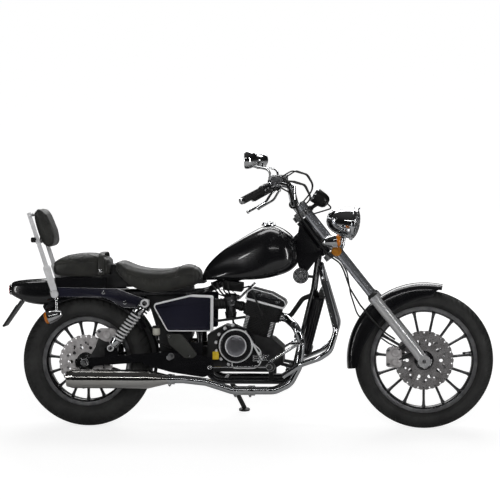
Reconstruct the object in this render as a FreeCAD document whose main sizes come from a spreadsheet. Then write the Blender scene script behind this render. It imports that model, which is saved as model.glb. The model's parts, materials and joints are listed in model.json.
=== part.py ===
import FreeCAD
import Part
import Sketcher
import math
import os
from FreeCAD import Placement, Rotation, Vector

ACROSS = Vector(0, 1, 0)

# A cruiser motorcycle, leaning on its side stand.
# It is modelled upright: X forward with 0 at the rear axle, Y to the rider's left, Z up from the road.
# At the end every sub-part gets the same placement, which leans the machine on to its stand.

doc = FreeCAD.newDocument("cruiser_motorcycle")

# Driving sizes in millimetres, degrees and counts, kept in the spreadsheet named bike.
SIZES = {
    # Wheels and tyres
    "wheelbase": 1545,
    "front_radius": 316,
    "front_tyre_width": 100,
    "front_bead_radius": 228.6,
    "front_rim_width": 58,
    "front_hub_radius": 46,
    "front_hub_width": 112,
    "rear_radius": 302,
    "rear_tyre_width": 130,
    "rear_bead_radius": 190.5,
    "rear_rim_width": 90,
    "rear_hub_radius": 50,
    "rear_hub_width": 150,
    "flange_height": 16,
    "flange_thick": 6,
    "rim_depth": 12,
    "spoke_count": 15,
    "spoke_width": 12,
    "spoke_depth": 22,
    "front_axle_radius": 8,
    "rear_axle_radius": 9,
    "bore_clearance": 0.4,
    # Brakes
    "front_disc_radius": 135,
    "rear_disc_radius": 125,
    "disc_thick": 5,
    "disc_band": 38,
    "disc_hole_radius": 3.5,
    "disc_hole_count": 30,
    "carrier_hole_radius": 8,
    "carrier_hole_count": 10,
    "pad_clearance": 2,
    # Chain drive
    "sprocket_radius": 92,
    "sprocket_thick": 5,
    "tooth_count": 40,
    "tooth_height": 8,
    "drive_sprocket_radius": 34,
    "chain_plate": 2,
    "chain_height": 12,
    "chain_pitch": 15.875,
    "roller_radius": 4.5,
    "chain_side_gap": 1.5,
    # Steering
    "rake": 38.5,
    "fork_offset": 45,
    "fork_spacing": 190,
    "fork_tube_radius": 18,
    "slider_radius": 24,
    "slider_top": 372,
    "head_bottom": 655,
    "head_length": 190,
    "head_tube_radius": 26,
    "yoke_thick": 26,
    "yoke_gap": 5,
    "yoke_boss_radius": 27,
    "stem_radius": 14,
    "tube_top": 905,
    # Frame
    "pivot_x": 480,
    "pivot_z": 342,
    "frame_tube_radius": 14,
    "rail_tube_radius": 11,
    "backbone_radius": 20,
    "cradle_half_width": 110,
    "cradle_z": 222,
    "seat_rail_half_width": 91,
    "seat_rail_z": 618,
    # Swingarm and shock absorbers
    "swingarm_half_width": 104,
    "swingarm_thick": 26,
    "swingarm_height": 46,
    "pivot_tube_radius": 23,
    "shock_half_width": 138,
    "shock_top_x": 278,
    "shock_top_z": 575,
    "shock_low_x": 121,
    "shock_low_z": 371,
    "spring_radius": 24,
    "spring_wire_radius": 4,
    "spring_turns": 10,
    # Engine
    "engine_x": 782,
    "engine_z": 432,
    "engine_tilt": 15,
    "barrel_length": 118,
    "barrel_width": 140,
    "barrel_height": 74,
    "head_fin_length": 170,
    "head_fin_width": 168,
    "head_height": 52,
    "cover_height": 66,
    "fin_count": 5,
    "fin_thick": 3,
    "case_rear_x": 560,
    "case_front_x": 905,
    "case_bottom_z": 262,
    "case_half_width": 100,
    "clutch_x": 693,
    "clutch_z": 384,
    "clutch_radius": 86,
    "clutch_depth": 52,
    "clutch_disc_radius": 46,
    "cover_edge": 14,
    "lower_cover_depth": 36,
    "generator_radius": 80,
    "generator_depth": 46,
    # Tank and seats
    "tank_head_gap": 122,
    "tank_length": 453,
    "tank_top_z": 935,
    "tank_low_z": 674,
    "tank_half_width": 132,
    "seat_front_x": 536,
    "seat_length": 408,
    "seat_top_z": 772,
    "seat_low_z": 604,
    "seat_half_width": 135,
    "pillion_front_x": 122,
    "pillion_length": 282,
    "pillion_top_z": 803,
    "pillion_low_z": 690,
    "pillion_half_width": 118,
    "backrest_half_width": 105,
    "backrest_edge": 9,
    # Bodywork
    "fender_gap": 36,
    "fender_thick": 2.5,
    "front_fender_half_width": 62,
    "rear_fender_half_width": 78,
    "rear_fender_gap": 28,
    "strut_thick": 5,
    "cover_half_width": 150,
    "cover_thick": 22,
    # Exhaust
    "header_radius": 18,
    "silencer_radius": 43,
    "silencer_x": -75,
    "silencer_length": 462,
    "silencer_y": -172,
    "silencer_z": 233,
    "outlet_radius": 30,
    "outlet_depth": 60,
    "clamp_width": 22,
    # Bars and lamps
    "bar_radius": 11,
    "grip_radius": 16.5,
    "grip_length": 122,
    "lamp_radius": 75,
    "lamp_x": 1230,
    "lamp_z": 936,
    "lamp_droop": 9,
    "lamp_ring": 4,
    "peak_length": 34,
    "reflector_radius": 24,
    "guard_tube_radius": 13,
    # Cooling
    "radiator_depth": 36,
    "radiator_width": 200,
    "radiator_height": 305,
    "radiator_tilt": 14.5,
    "radiator_tank": 32,
    "core_depth": 24,
    # Brake hose and cables
    "hose_radius": 4,
    "cable_radius": 3.5,
    # Side stand
    "lean": 10,
    "stand_x": 640,
    "stand_foot_x": 705,
    "stand_foot_y": 262,
    "stand_tube_radius": 11,
}

bike = doc.addObject("Spreadsheet::Sheet", "bike")
for row, (alias, size) in enumerate(SIZES.items(), 1):
    bike.set(f"A{row}", alias.replace("_", " "))
    bike.set(f"B{row}", str(size))
    bike.setAlias(f"B{row}", alias)
doc.recompute()


# Helpers

def value(rule):
    """The number that a rule gives now."""
    return float(bike.evalExpression(rule.replace("bike.", "")))


def bind(piece, **rules):
    """Tie properties to the sheet; x, y and z mean the placement."""
    places = {"x": "Placement.Base.x", "y": "Placement.Base.y", "z": "Placement.Base.z"}
    for name, rule in rules.items():
        piece.setExpression(places.get(name, name), rule)
    return piece


def bar(name, radius, length, x="0", y="0", z="0", along=ACROSS):
    """A round bar whose sizes and start are rules."""
    piece = doc.addObject("Part::Cylinder", name)
    piece.Placement.Rotation = Rotation(Vector(0, 0, 1), along)
    return bind(piece, Radius=radius, Height=length, x=x, y=y, z=z)


def block(name, length, width, height, x, y, z):
    """A box whose sizes and low corner are rules."""
    piece = doc.addObject("Part::Box", name)
    return bind(piece, Length=length, Width=width, Height=height, x=x, y=y, z=z)


def fuse(name, *pieces):
    piece = doc.addObject("Part::MultiFuse", name)
    piece.Shapes = list(pieces)
    return piece


def cut(name, base, tool):
    piece = doc.addObject("Part::Cut", name)
    piece.Base = base
    piece.Tool = tool
    return piece


def mirrored(piece):
    """The same piece on the other side of the machine."""
    copy = doc.addObject("Part::Mirroring", piece.Name + "_mirrored")
    copy.Source = piece
    copy.Normal = ACROSS
    return copy


def solid(name, shape):
    """A free form made by hand from the sheet's values."""
    piece = doc.addObject("Part::Feature", name)
    piece.Shape = shape
    return piece


def body(name, x="0", y="0", z="0"):
    return bind(doc.addObject("PartDesign::Body", name), x=x, y=y, z=z)


def sketch_on(owner, name, plane, offset=None):
    sketch = owner.newObject("Sketcher::SketchObject", name)
    face = [f for f in owner.Origin.OriginFeatures if f.Role == plane + "_Plane"][0]
    sketch.AttachmentSupport = (face, "")
    sketch.MapMode = "FlatFace"
    if offset:
        sketch.setExpression("AttachmentOffset.Base.z", offset)
    return sketch


def arc_between(start, end, radius, side):
    """The short arc from start to end; side 1 bulges to the right of the way, -1 to the left."""
    middle = (start + end) * 0.5
    chord = end - start
    reach = math.sqrt(max(radius ** 2 - (chord.Length / 2) ** 2, 0))
    left = Vector(-chord.y, chord.x, 0).normalize()
    centre = middle + left * (reach * side)
    top = centre - left * (radius * side)
    return Part.Arc(start, top, end)


def outline(owner, name, plane, corners, offset=None):
    """A closed sketch; a corner is (across, up) or (across, up, arc radius, side) in rules."""
    sketch = sketch_on(owner, name, plane, offset)
    places = [Vector(value(c[0]), value(c[1]), 0) for c in corners]
    count = len(corners)
    ends = []
    for k, corner in enumerate(corners):
        start, end = places[k], places[(k + 1) % count]
        if len(corner) == 2:
            sketch.addGeometry(Part.LineSegment(start, end))
            ends.append((1, 2))
        else:
            sketch.addGeometry(arc_between(start, end, value(corner[2]), corner[3]))
            ends.append((1, 2) if corner[3] > 0 else (2, 1))
    for k, corner in enumerate(corners):
        following = (k + 1) % count
        sketch.addConstraint(
            Sketcher.Constraint("Coincident", k, ends[k][1], following, ends[following][0]))
        for kind, number, rule in (("DistanceX", places[k].x, corner[0]),
                                   ("DistanceY", places[k].y, corner[1])):
            index = sketch.addConstraint(Sketcher.Constraint(kind, -1, 1, k, ends[k][0], number))
            sketch.setExpression(f"Constraints[{index}]", rule)
        if len(corner) > 2:
            index = sketch.addConstraint(Sketcher.Constraint("Radius", k, value(corner[2])))
            sketch.setExpression(f"Constraints[{index}]", corner[2])
    return sketch


def rounds(owner, name, plane, circles, offset=None):
    """A sketch of circles, each (across, up, radius) in rules."""
    sketch = sketch_on(owner, name, plane, offset)
    for k, (across, up, radius) in enumerate(circles):
        place = Vector(value(across), value(up), 0)
        sketch.addGeometry(Part.Circle(place, Vector(0, 0, 1), value(radius)))
        for constraint, rule in ((("DistanceX", -1, 1, k, 3, place.x), across),
                                 (("DistanceY", -1, 1, k, 3, place.y), up),
                                 (("Radius", k, value(radius)), radius)):
            index = sketch.addConstraint(Sketcher.Constraint(*constraint))
            sketch.setExpression(f"Constraints[{index}]", rule)
    return sketch


def pad(owner, sketch, length, midplane=False, reverse=False):
    feature = owner.newObject("PartDesign::Pad", sketch.Name + "_pad")
    feature.Profile = sketch
    feature.Midplane = midplane
    feature.Reversed = reverse
    feature.setExpression("Length", length)
    return feature


def pocket(owner, sketch):
    """A cut right through the body both ways from the sketch."""
    feature = owner.newObject("PartDesign::Pocket", sketch.Name + "_pocket")
    feature.Profile = sketch
    feature.Type = "ThroughAll"
    feature.Midplane = True
    return feature


def turned(owner, sketch, axis):
    feature = owner.newObject("PartDesign::Revolution", sketch.Name + "_turned")
    feature.Profile = sketch
    feature.ReferenceAxis = (sketch, [axis])
    feature.Angle = 360
    return feature


def ring_of(owner, feature, sketch, count):
    """Repeat a feature round the normal of its sketch."""
    pattern = owner.newObject("PartDesign::PolarPattern", feature.Name + "_ring")
    pattern.Originals = [feature]
    pattern.Axis = (sketch, ["N_Axis"])
    pattern.Angle = 360
    pattern.setExpression("Occurrences", count)
    owner.Tip = pattern
    return pattern


def unit(vector):
    return Vector(vector).normalize()


def bent_path(points, bend):
    """Straight runs joined by tangent arcs of one radius, less where the runs are short."""
    edges = []
    start = points[0]
    for before, corner, after in zip(points, points[1:], points[2:]):
        back, ahead = unit(before - corner), unit(after - corner)
        half_turn = (math.pi - back.getAngle(ahead)) / 2
        room = 0.45 * min((before - corner).Length, (after - corner).Length)
        reach = min(bend * math.tan(half_turn), room)
        radius = reach / math.tan(half_turn)
        inward = unit(back + ahead)
        centre = corner + inward * (radius / math.cos(half_turn))
        first, last = corner + back * reach, corner + ahead * reach
        edges.append(Part.LineSegment(start, first).toShape())
        edges.append(Part.Arc(first, centre - inward * radius, last).toShape())
        start = last
    edges.append(Part.LineSegment(start, points[-1]).toShape())
    return Part.Wire(edges)


def tube(points, radius, bend=60):
    """A round tube along a bent path."""
    path = bent_path(points, bend)
    ring = Part.Circle(points[0], unit(points[1] - points[0]), radius).toShape()
    return path.makePipeShell([Part.Wire([ring])], True, False)


def rod(start, end, radius, end_radius=None):
    """A straight round rod, or a cone where its ends differ."""
    way = end - start
    if end_radius is None:
        return Part.makeCylinder(radius, way.Length, start, way)
    return Part.makeCone(radius, end_radius, way.Length, start, way)


def both(points):
    """The points on the right of the machine and their images on the left."""
    return points, [Vector(p.x, -p.y, p.z) for p in points]


def flipped(shape):
    return shape.mirror(Vector(0, 0, 0), ACROSS)


def section(x, low, top, half_width, belly=0.42, square=0.8):
    """A closed cross-section at x, rounded on top and flatter below."""
    height = top - low
    widest = low + belly * height
    right = [Vector(x, 0, top),
             Vector(x, -half_width * 0.62 * square / 0.8, top - height * 0.10),
             Vector(x, -half_width * 0.93, widest + height * 0.26),
             Vector(x, -half_width, widest),
             Vector(x, -half_width * 0.86, low + height * 0.10),
             Vector(x, -half_width * 0.45, low)]
    left = [Vector(p.x, -p.y, p.z) for p in reversed(right[1:])]
    curve = Part.BSplineCurve()
    curve.interpolate(right + left, PeriodicFlag=True)
    return Part.Wire([curve.toShape()])


def lofted(name, sections):
    return solid(name, Part.makeLoft(sections, True, False))


NODES = []


def node(label, *pieces):
    """A sub-part for the export, which carries the lean of the whole machine."""
    group = doc.addObject("Part::Compound", label)
    group.Label = label
    group.Links = list(pieces)
    NODES.append(group)
    return group


# Points that several pieces share

tilt = math.radians(bike.rake)
STEER_UP = Vector(-math.sin(tilt), 0, math.cos(tilt))
STEER_AHEAD = Vector(math.cos(tilt), 0, math.sin(tilt))
FRONT_AXLE = Vector(bike.wheelbase, 0, bike.front_radius)
REAR_AXLE = Vector(0, 0, bike.rear_radius)
STEER_FOOT = FRONT_AXLE - STEER_AHEAD * bike.fork_offset
STEER_TURN = Rotation(ACROSS, -bike.rake)
PIVOT = Vector(bike.pivot_x, 0, bike.pivot_z)


def steered(across, side, up):
    """A point given square to the steering axis, in the machine's own axes."""
    return STEER_FOOT + STEER_AHEAD * across + Vector(0, side, 0) + STEER_UP * up


def on_steering(piece):
    """Lay a piece that was made along Z on to the raked steering axis."""
    piece.Placement.Rotation = STEER_TURN
    return bind(
        piece,
        x="bike.wheelbase - bike.fork_offset * cos(bike.rake * 1deg)",
        z="bike.front_radius - bike.fork_offset * sin(bike.rake * 1deg)")


# Wheels

def tyre(end):
    """A solid tyre turned about the axle, its round crown and bulging walls in a few flat bands."""
    owner = body(f"{end}_tyre_body", x="bike.wheelbase" if end == "front" else "0",
                 z=f"bike.{end}_radius")
    radius, bead = f"bike.{end}_radius", f"bike.{end}_bead_radius"
    half, edge = f"bike.{end}_tyre_width / 2", f"bike.{end}_rim_width / 2"
    wall = [(edge, bead), (edge, f"{bead} + bike.flange_height")]
    for turn in ("90deg", "45deg", "bike.lean * 1deg"):
        wall.append((f"{half} * sin({turn})", f"{radius} - {half} * (1 - cos({turn}))"))
    left = [(f"-({across})", up) for across, up in reversed(wall)]
    profile = outline(owner, f"{end}_tyre_profile", "YZ", wall + [("0", radius)] + left)
    turned(owner, profile, "H_Axis")
    return owner


def rim(end):
    """A cast wheel: a flanged rim, straight spokes and a bored hub in one piece."""
    owner = body(f"{end}_rim_body", x="bike.wheelbase" if end == "front" else "0",
                 z=f"bike.{end}_radius")
    seat, bead = f"bike.{end}_rim_width / 2", f"bike.{end}_bead_radius"
    side, lip = f"{seat} + bike.flange_thick", f"{bead} + bike.flange_height"
    inner = f"{bead} - bike.rim_depth"
    profile = outline(owner, f"{end}_rim_profile", "YZ", [
        (f"-({side})", inner), (side, inner), (side, lip), (seat, lip), (seat, bead),
        (f"-({seat})", bead), (f"-({seat})", lip), (f"-({side})", lip)])
    turned(owner, profile, "H_Axis")
    width, root = "bike.spoke_width / 2", f"bike.{end}_hub_radius * 0.9"
    spoke_sketch = outline(owner, f"{end}_spoke", "XZ", [
        (f"-({width})", f"-({inner} + 3)"), (width, f"-({inner} + 3)"),
        (width, f"-({root})"), (f"-({width})", f"-({root})")])
    spoke = pad(owner, spoke_sketch, "bike.spoke_depth", midplane=True)
    ring_of(owner, spoke, spoke_sketch, "bike.spoke_count")
    hub_sketch = rounds(owner, f"{end}_hub", "XZ", [("0", "0", f"bike.{end}_hub_radius")])
    hub = pad(owner, hub_sketch, f"bike.{end}_hub_width", midplane=True)
    bore_sketch = rounds(owner, f"{end}_bore", "XZ", [
        ("0", "0", f"bike.{end}_axle_radius + bike.bore_clearance")])
    owner.Tip = pocket(owner, bore_sketch)
    return owner


def disc(end):
    """A brake disc: a drilled band on a carrier with round windows, bored for the axle."""
    owner = body(f"{end}_disc_body", x="bike.wheelbase" if end == "front" else "0",
                 y=f"-bike.{end}_hub_width / 2", z=f"bike.{end}_radius")
    bore = f"bike.{end}_axle_radius + bike.bore_clearance"
    plate_sketch = rounds(owner, f"{end}_disc_plate", "XZ", [
        ("0", "0", f"bike.{end}_disc_radius"), ("0", "0", bore)])
    pad(owner, plate_sketch, "bike.disc_thick")
    middle = f"bike.{end}_disc_radius - bike.disc_band / 3"
    hole_sketch = rounds(owner, f"{end}_disc_hole", "XZ", [("0", middle, "bike.disc_hole_radius")])
    ring_of(owner, pocket(owner, hole_sketch), hole_sketch, "bike.disc_hole_count")
    window = f"bike.{end}_disc_radius - bike.disc_band - bike.carrier_hole_radius * 1.6"
    window_sketch = rounds(owner, f"{end}_disc_window", "XZ", [
        ("0", window, "bike.carrier_hole_radius")])
    ring_of(owner, pocket(owner, window_sketch), window_sketch, "bike.carrier_hole_count")
    return owner


def sprocket():
    """The rear sprocket, with a notch cut between each two teeth."""
    owner = body("sprocket_body", y="bike.rear_hub_width / 2 + bike.sprocket_thick",
                 z="bike.rear_radius")
    blank = rounds(owner, "sprocket_blank", "XZ", [
        ("0", "0", "bike.sprocket_radius"),
        ("0", "0", "bike.rear_axle_radius + bike.bore_clearance")])
    pad(owner, blank, "bike.sprocket_thick")
    half = "bike.sprocket_radius * tan(180deg / bike.tooth_count) * 0.62"
    notch_sketch = outline(owner, "sprocket_notch", "XZ", [
        (f"-({half})", "bike.sprocket_radius + 2"),
        ("0", "bike.sprocket_radius - bike.tooth_height"),
        (half, "bike.sprocket_radius + 2")])
    ring_of(owner, pocket(owner, notch_sketch), notch_sketch, "bike.tooth_count")
    return owner


node("front_tyre", tyre("front"))
node("front_rim", rim("front"))
node("front_disc", disc("front"))
node("rear_tyre", tyre("rear"))
node("rear_rim", rim("rear"))
node("rear_disc", disc("rear"))
node("rear_sprocket", sprocket())

# Fork and yokes

half_fork = bike.fork_spacing / 2
leg_sides = (-half_fork, half_fork)

node("front_axle", bar(
    "front_axle_bar", "bike.front_axle_radius", "bike.fork_spacing + bike.slider_radius * 2 + 16",
    x="bike.wheelbase", y="-bike.fork_spacing / 2 - bike.slider_radius - 8", z="bike.front_radius"))


def slider(side):
    """A lower fork leg with a clamp for the axle and a collar at its mouth."""
    leg = rod(steered(bike.fork_offset, side, -bike.slider_radius * 1.2),
              steered(bike.fork_offset, side, bike.slider_top), bike.slider_radius)
    collar = rod(steered(bike.fork_offset, side, bike.slider_top - 26),
                 steered(bike.fork_offset, side, bike.slider_top), bike.slider_radius + 4)
    clamp = Part.makeCylinder(bike.slider_radius + 5, bike.slider_radius * 2,
                              FRONT_AXLE + Vector(0, side - bike.slider_radius, 0), ACROSS)
    hole = Part.makeCylinder(bike.front_axle_radius, bike.fork_spacing * 2,
                             FRONT_AXLE - Vector(0, bike.fork_spacing, 0), ACROSS)
    return leg.fuse([collar, clamp]).cut(hole)


slider_shapes = [slider(side) for side in leg_sides]
node("fork_sliders", solid("right_slider", slider_shapes[0]), solid("left_slider", slider_shapes[1]))
fork_tubes = [solid(f"{word}_fork_tube", rod(steered(bike.fork_offset, side, bike.slider_top),
                                            steered(bike.fork_offset, side, bike.tube_top),
                                            bike.fork_tube_radius))
              for word, side in zip(("right", "left"), leg_sides)]
node("fork_tubes", *fork_tubes)


def yoke(name, low):
    """A clamp plate that holds both fork tubes and the steering stem."""
    owner = on_steering(doc.addObject("PartDesign::Body", name))
    side, boss = "bike.fork_spacing / 2", "bike.yoke_boss_radius"
    web = outline(owner, name + "_web", "XY", [
        (f"-({boss}) * 0.7", "-14"), ("bike.fork_offset - 12", f"-({side})"),
        ("bike.fork_offset + 16", f"-({side})"), (f"{boss} + 12", "0"),
        ("bike.fork_offset + 16", side), ("bike.fork_offset - 12", side),
        (f"-({boss}) * 0.7", "14")], low)
    pad(owner, web, "bike.yoke_thick")
    bosses = rounds(owner, name + "_bosses", "XY", [
        ("0", "0", boss), ("bike.fork_offset", side, boss), ("bike.fork_offset", f"-({side})", boss)], low)
    pad(owner, bosses, "bike.yoke_thick")
    bores = rounds(owner, name + "_bores", "XY", [
        ("bike.fork_offset", side, "bike.fork_tube_radius"),
        ("bike.fork_offset", f"-({side})", "bike.fork_tube_radius"),
        ("0", "0", "bike.stem_radius")], low)
    owner.Tip = pocket(owner, bores)
    return owner


low_yoke = yoke("lower_yoke", "bike.head_bottom - bike.yoke_gap - bike.yoke_thick")
top_yoke = yoke("upper_yoke", "bike.head_bottom + bike.head_length + bike.yoke_gap")
stem_low = bike.head_bottom - bike.yoke_gap - bike.yoke_thick
stem_top = bike.head_bottom + bike.head_length + bike.yoke_gap + bike.yoke_thick
stem = solid("steering_stem", rod(steered(0, 0, stem_low), steered(0, 0, stem_top + 8), bike.stem_radius))
node("steering_yokes", low_yoke, top_yoke, stem)

# Frame, with the pin that the side stand turns on

lean = math.radians(bike.lean)
tyre_rise = bike.rear_tyre_width / 2 * (1 / math.cos(lean) - 1)
foot_z = bike.stand_foot_y * math.tan(lean) - tyre_rise
stand_pivot = Vector(bike.stand_x, bike.cradle_half_width + 32, bike.cradle_z - 6)
foot = Vector(bike.stand_foot_x, bike.stand_foot_y, foot_z)
stand_out = unit(foot - stand_pivot)
stand_folded = unit(Vector(-1, 0.05, 0.02))
middle_way = unit(stand_out - stand_folded)
stand_axis = unit(ACROSS - middle_way * middle_way.y)

head_low = steered(0, 0, bike.head_bottom)
head_top = steered(0, 0, bike.head_bottom + bike.head_length)
head_tube = rod(head_low, head_top, bike.head_tube_radius)
stem_bore = rod(steered(0, 0, bike.head_bottom - 5), steered(0, 0, bike.head_bottom + bike.head_length + 5),
                bike.stem_radius + bike.bore_clearance)
half_cradle = bike.cradle_half_width
rail_y = bike.seat_rail_half_width
front_x = head_low.x - 127
cradle = [steered(-8, -14, bike.head_bottom + 42),
          Vector(front_x + 69, -half_cradle * 0.5, head_low.z - 160),
          Vector(front_x, -half_cradle, bike.cradle_z + 128),
          Vector(front_x - 29, -half_cradle, bike.cradle_z),
          Vector(590, -half_cradle, bike.cradle_z),
          Vector(bike.pivot_x + 50, -half_cradle, bike.pivot_z - 20),
          Vector(bike.pivot_x + 46, -half_cradle, bike.pivot_z + 90),
          Vector(bike.pivot_x - 6, -rail_y, bike.seat_rail_z + 2)]
seat_rail = [Vector(600, -20, 650), Vector(540, -rail_y * 0.8, bike.seat_rail_z + 8),
             Vector(bike.pivot_x - 20, -rail_y, bike.seat_rail_z),
             Vector(-148, -rail_y, bike.seat_rail_z)]
backbone = [steered(-6, 0, bike.head_bottom + bike.head_length - 50),
            Vector(840, 0, bike.tank_low_z + 66), Vector(640, 0, bike.tank_low_z - 2),
            Vector(575, 0, bike.tank_low_z - 30)]
frame_pieces = [stem_bore]
frame_tubes = [tube(backbone, bike.backbone_radius, 200)]
for points in both(cradle):
    frame_tubes.append(tube(points, bike.frame_tube_radius, 70))
for points in both(seat_rail):
    frame_tubes.append(tube(points, bike.rail_tube_radius, 60))
for x, z, y, radius in ((905, bike.cradle_z, half_cradle, 11), (640, bike.cradle_z, half_cradle, 11),
                        (bike.pivot_x - 8, bike.seat_rail_z + 2, rail_y, 11),
                        (-140, bike.seat_rail_z, rail_y, 9), (575, 640, rail_y * 0.6, 14)):
    frame_tubes.append(Part.makeCylinder(radius, 2 * y, Vector(x, -y, z), ACROSS))
for side in (-1, 1):
    plate = Part.makeBox(96, 8, 110, PIVOT + Vector(-36, side * (half_cradle + 15) - 4, -55))
    boss_start = Vector(front_x - 60, side * (half_cradle + 30) - 30, bike.cradle_z + 29)
    guard_boss = Part.makeCylinder(9, 60, boss_start, ACROSS)
    frame_tubes += [plate, guard_boss]
pivot_bolt = Part.makeCylinder(9, 2 * half_cradle + 50, PIVOT - Vector(0, half_cradle + 25, 0), ACROSS)
stand_pin = rod(stand_pivot - stand_axis * 30, stand_pivot + stand_axis * 11, 6)
frame_tubes += [pivot_bolt, stand_pin]
frame_shape = head_tube.fuse(frame_tubes).cut(stem_bore)
pivot_hole = Part.makeCylinder(9, 400, PIVOT - Vector(0, 200, 0), ACROSS)
node("frame", solid("frame_shape", frame_shape))

# Swingarm, shock absorbers and rear axle

arm_y = bike.swingarm_half_width


def arm_leg(side):
    rear, front = REAR_AXLE, PIVOT
    way = unit(front - rear)
    up = Vector(-way.z, 0, way.x)
    half = bike.swingarm_height / 2
    corners = [rear - way * 44 - up * half * 0.8, front - up * half * 0.9,
               front + up * half * 0.9, rear - way * 44 + up * half * 0.8]
    face = Part.Face(Part.makePolygon([c + Vector(0, side * arm_y - bike.swingarm_thick / 2, 0)
                                       for c in corners + corners[:1]]))
    return face.extrude(Vector(0, bike.swingarm_thick, 0))


pivot_tube = Part.makeCylinder(bike.pivot_tube_radius, 2 * (arm_y - 8), PIVOT - Vector(0, arm_y - 8, 0),
                               ACROSS)
brace = Part.makeCylinder(16, 2 * arm_y, Vector(bike.pivot_x - 85, -arm_y, bike.pivot_z - 8), ACROSS)
studs = [Part.makeCylinder(11, 24, Vector(bike.shock_low_x, side * (arm_y + 20) - 12, bike.shock_low_z),
                           ACROSS) for side in (-1, 1)]
lugs = [Part.makeBox(60, 16, 50, Vector(bike.shock_low_x - 30, side * (arm_y + 4) - 8, 320))
        for side in (-1, 1)]
arm_shape = pivot_tube.fuse([brace, arm_leg(-1), arm_leg(1)] + studs + lugs)
arm_shape = arm_shape.cut(Part.makeCylinder(bike.rear_axle_radius, 400, REAR_AXLE - Vector(0, 200, 0),
                                            ACROSS))
arm_shape = arm_shape.cut(pivot_hole)
node("swingarm", solid("swingarm_shape", arm_shape))
node("rear_axle", bar("rear_axle_bar", "bike.rear_axle_radius", "bike.swingarm_half_width * 2 + 54",
                      y="-bike.swingarm_half_width - 27", z="bike.rear_radius"))


def shock(side):
    """A damper with eyes at both ends, a top cap and a lower seat for the spring."""
    y = side * bike.shock_half_width
    top = Vector(bike.shock_top_x, y, bike.shock_top_z)
    low = Vector(bike.shock_low_x, y, bike.shock_low_z)
    way = unit(top - low)
    length = (top - low).Length
    pieces = [rod(low, low + way * length * 0.42, 20), rod(low, top, 9),
              rod(top - way * 62, top - way * 14, 23),
              rod(low + way * length * 0.40, low + way * length * 0.43, 28),
              Part.makeCylinder(17, 24, top - Vector(0, 12, 0), ACROSS),
              Part.makeCylinder(17, 24, low - Vector(0, 12, 0), ACROSS)]
    shape = pieces[0].fuse(pieces[1:])
    for centre in (top, low):
        shape = shape.cut(Part.makeCylinder(11, 60, centre - Vector(0, 30, 0), ACROSS))
    return shape


def spring(side):
    """A coil between the lower seat and the top cap."""
    y = side * bike.shock_half_width
    top = Vector(bike.shock_top_x, y, bike.shock_top_z)
    low = Vector(bike.shock_low_x, y, bike.shock_low_z)
    way = unit(top - low)
    length = (top - low).Length
    start = length * 0.43 + bike.spring_wire_radius
    height = length - 62 - start - bike.spring_wire_radius
    coil = Part.makeHelix(height / bike.spring_turns, height, bike.spring_radius)
    corners = [Vector(bike.spring_radius + bike.spring_wire_radius * math.cos(math.pi * k / 3), 0,
                      bike.spring_wire_radius * math.sin(math.pi * k / 3)) for k in range(7)]
    ring = Part.makePolygon(corners)
    wire = Part.Wire(coil).makePipeShell([ring], True, True)
    wire.Placement = Placement(low + way * start, Rotation(Vector(0, 0, 1), way))
    return wire


node("shock_absorbers", solid("right_shock", shock(-1)), solid("left_shock", shock(1)))
node("shock_springs", solid("right_spring", spring(-1)), solid("left_spring", spring(1)))

# Engine, in a frame that stands on the cylinder base and leans forward with it

ENGINE_TURN = Rotation(ACROSS, bike.engine_tilt)


def on_engine(piece, along, side, up):
    """Place a box on the leaning cylinder, centred at a distance up its axis."""
    piece.Placement.Rotation = ENGINE_TURN
    lean_x, lean_z = "cos(bike.engine_tilt * 1deg)", "sin(bike.engine_tilt * 1deg)"
    return bind(piece, x=f"bike.engine_x + ({along}) * {lean_x} + ({up}) * {lean_z}", y=side,
                z=f"bike.engine_z - ({along}) * {lean_z} + ({up}) * {lean_x}")


def leaning_block(name, length, width, low, height):
    piece = doc.addObject("Part::Box", name)
    bind(piece, Length=length, Width=width, Height=height)
    return on_engine(piece, f"-({length}) / 2", f"-({width}) / 2", low)


barrel = leaning_block("barrel", "bike.barrel_length", "bike.barrel_width", "0", "bike.barrel_height")
fins = []
for index in range(int(bike.fin_count)):
    up = f"bike.barrel_height * ({index} + 0.6) / bike.fin_count"
    fins.append(leaning_block(f"barrel_fin_{index}", "bike.barrel_length + 22", "bike.barrel_width + 22",
                              up, "bike.fin_thick"))
node("cylinder", fuse("cylinder_shape", barrel, *fins))
head_block = leaning_block("head_block", "bike.head_fin_length - 18", "bike.head_fin_width - 18",
                           "bike.barrel_height", "bike.head_height")
head_fins = []
for index in range(int(bike.fin_count) - 1):
    up = f"bike.barrel_height + bike.head_height * ({index} + 0.5) / (bike.fin_count - 1)"
    head_fins.append(leaning_block(f"head_fin_{index}", "bike.head_fin_length", "bike.head_fin_width",
                                   up, "bike.fin_thick"))
node("cylinder_head", fuse("cylinder_head_shape", head_block, *head_fins))


def cover_profile():
    """The rocker cover: a peaked profile across the machine, lying on the leaning head."""
    half = bike.head_fin_length / 2 + 8
    low = bike.barrel_height + bike.head_height
    top = low + bike.cover_height
    corners = [(-half, low), (half, low), (half + 4, low + 22), (half - 14, top - 22), (20, top),
               (-half + 22, top), (-half, top - 24)]
    points = [Vector(a, 0, b) for a, b in corners]
    face = Part.Face(Part.makePolygon(points + points[:1]))
    width = bike.head_fin_width + 6
    shape = face.extrude(Vector(0, width, 0))
    shape.translate(Vector(0, -width / 2, 0))
    shape = shape.makeFillet(6, [e for e in shape.Edges if e.Length > 20 and e.BoundBox.ZMin > low + 1])
    shape.Placement = Placement(Vector(bike.engine_x, 0, bike.engine_z), ENGINE_TURN)
    return shape


node("rocker_cover", solid("rocker_cover_shape", cover_profile()))

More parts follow.
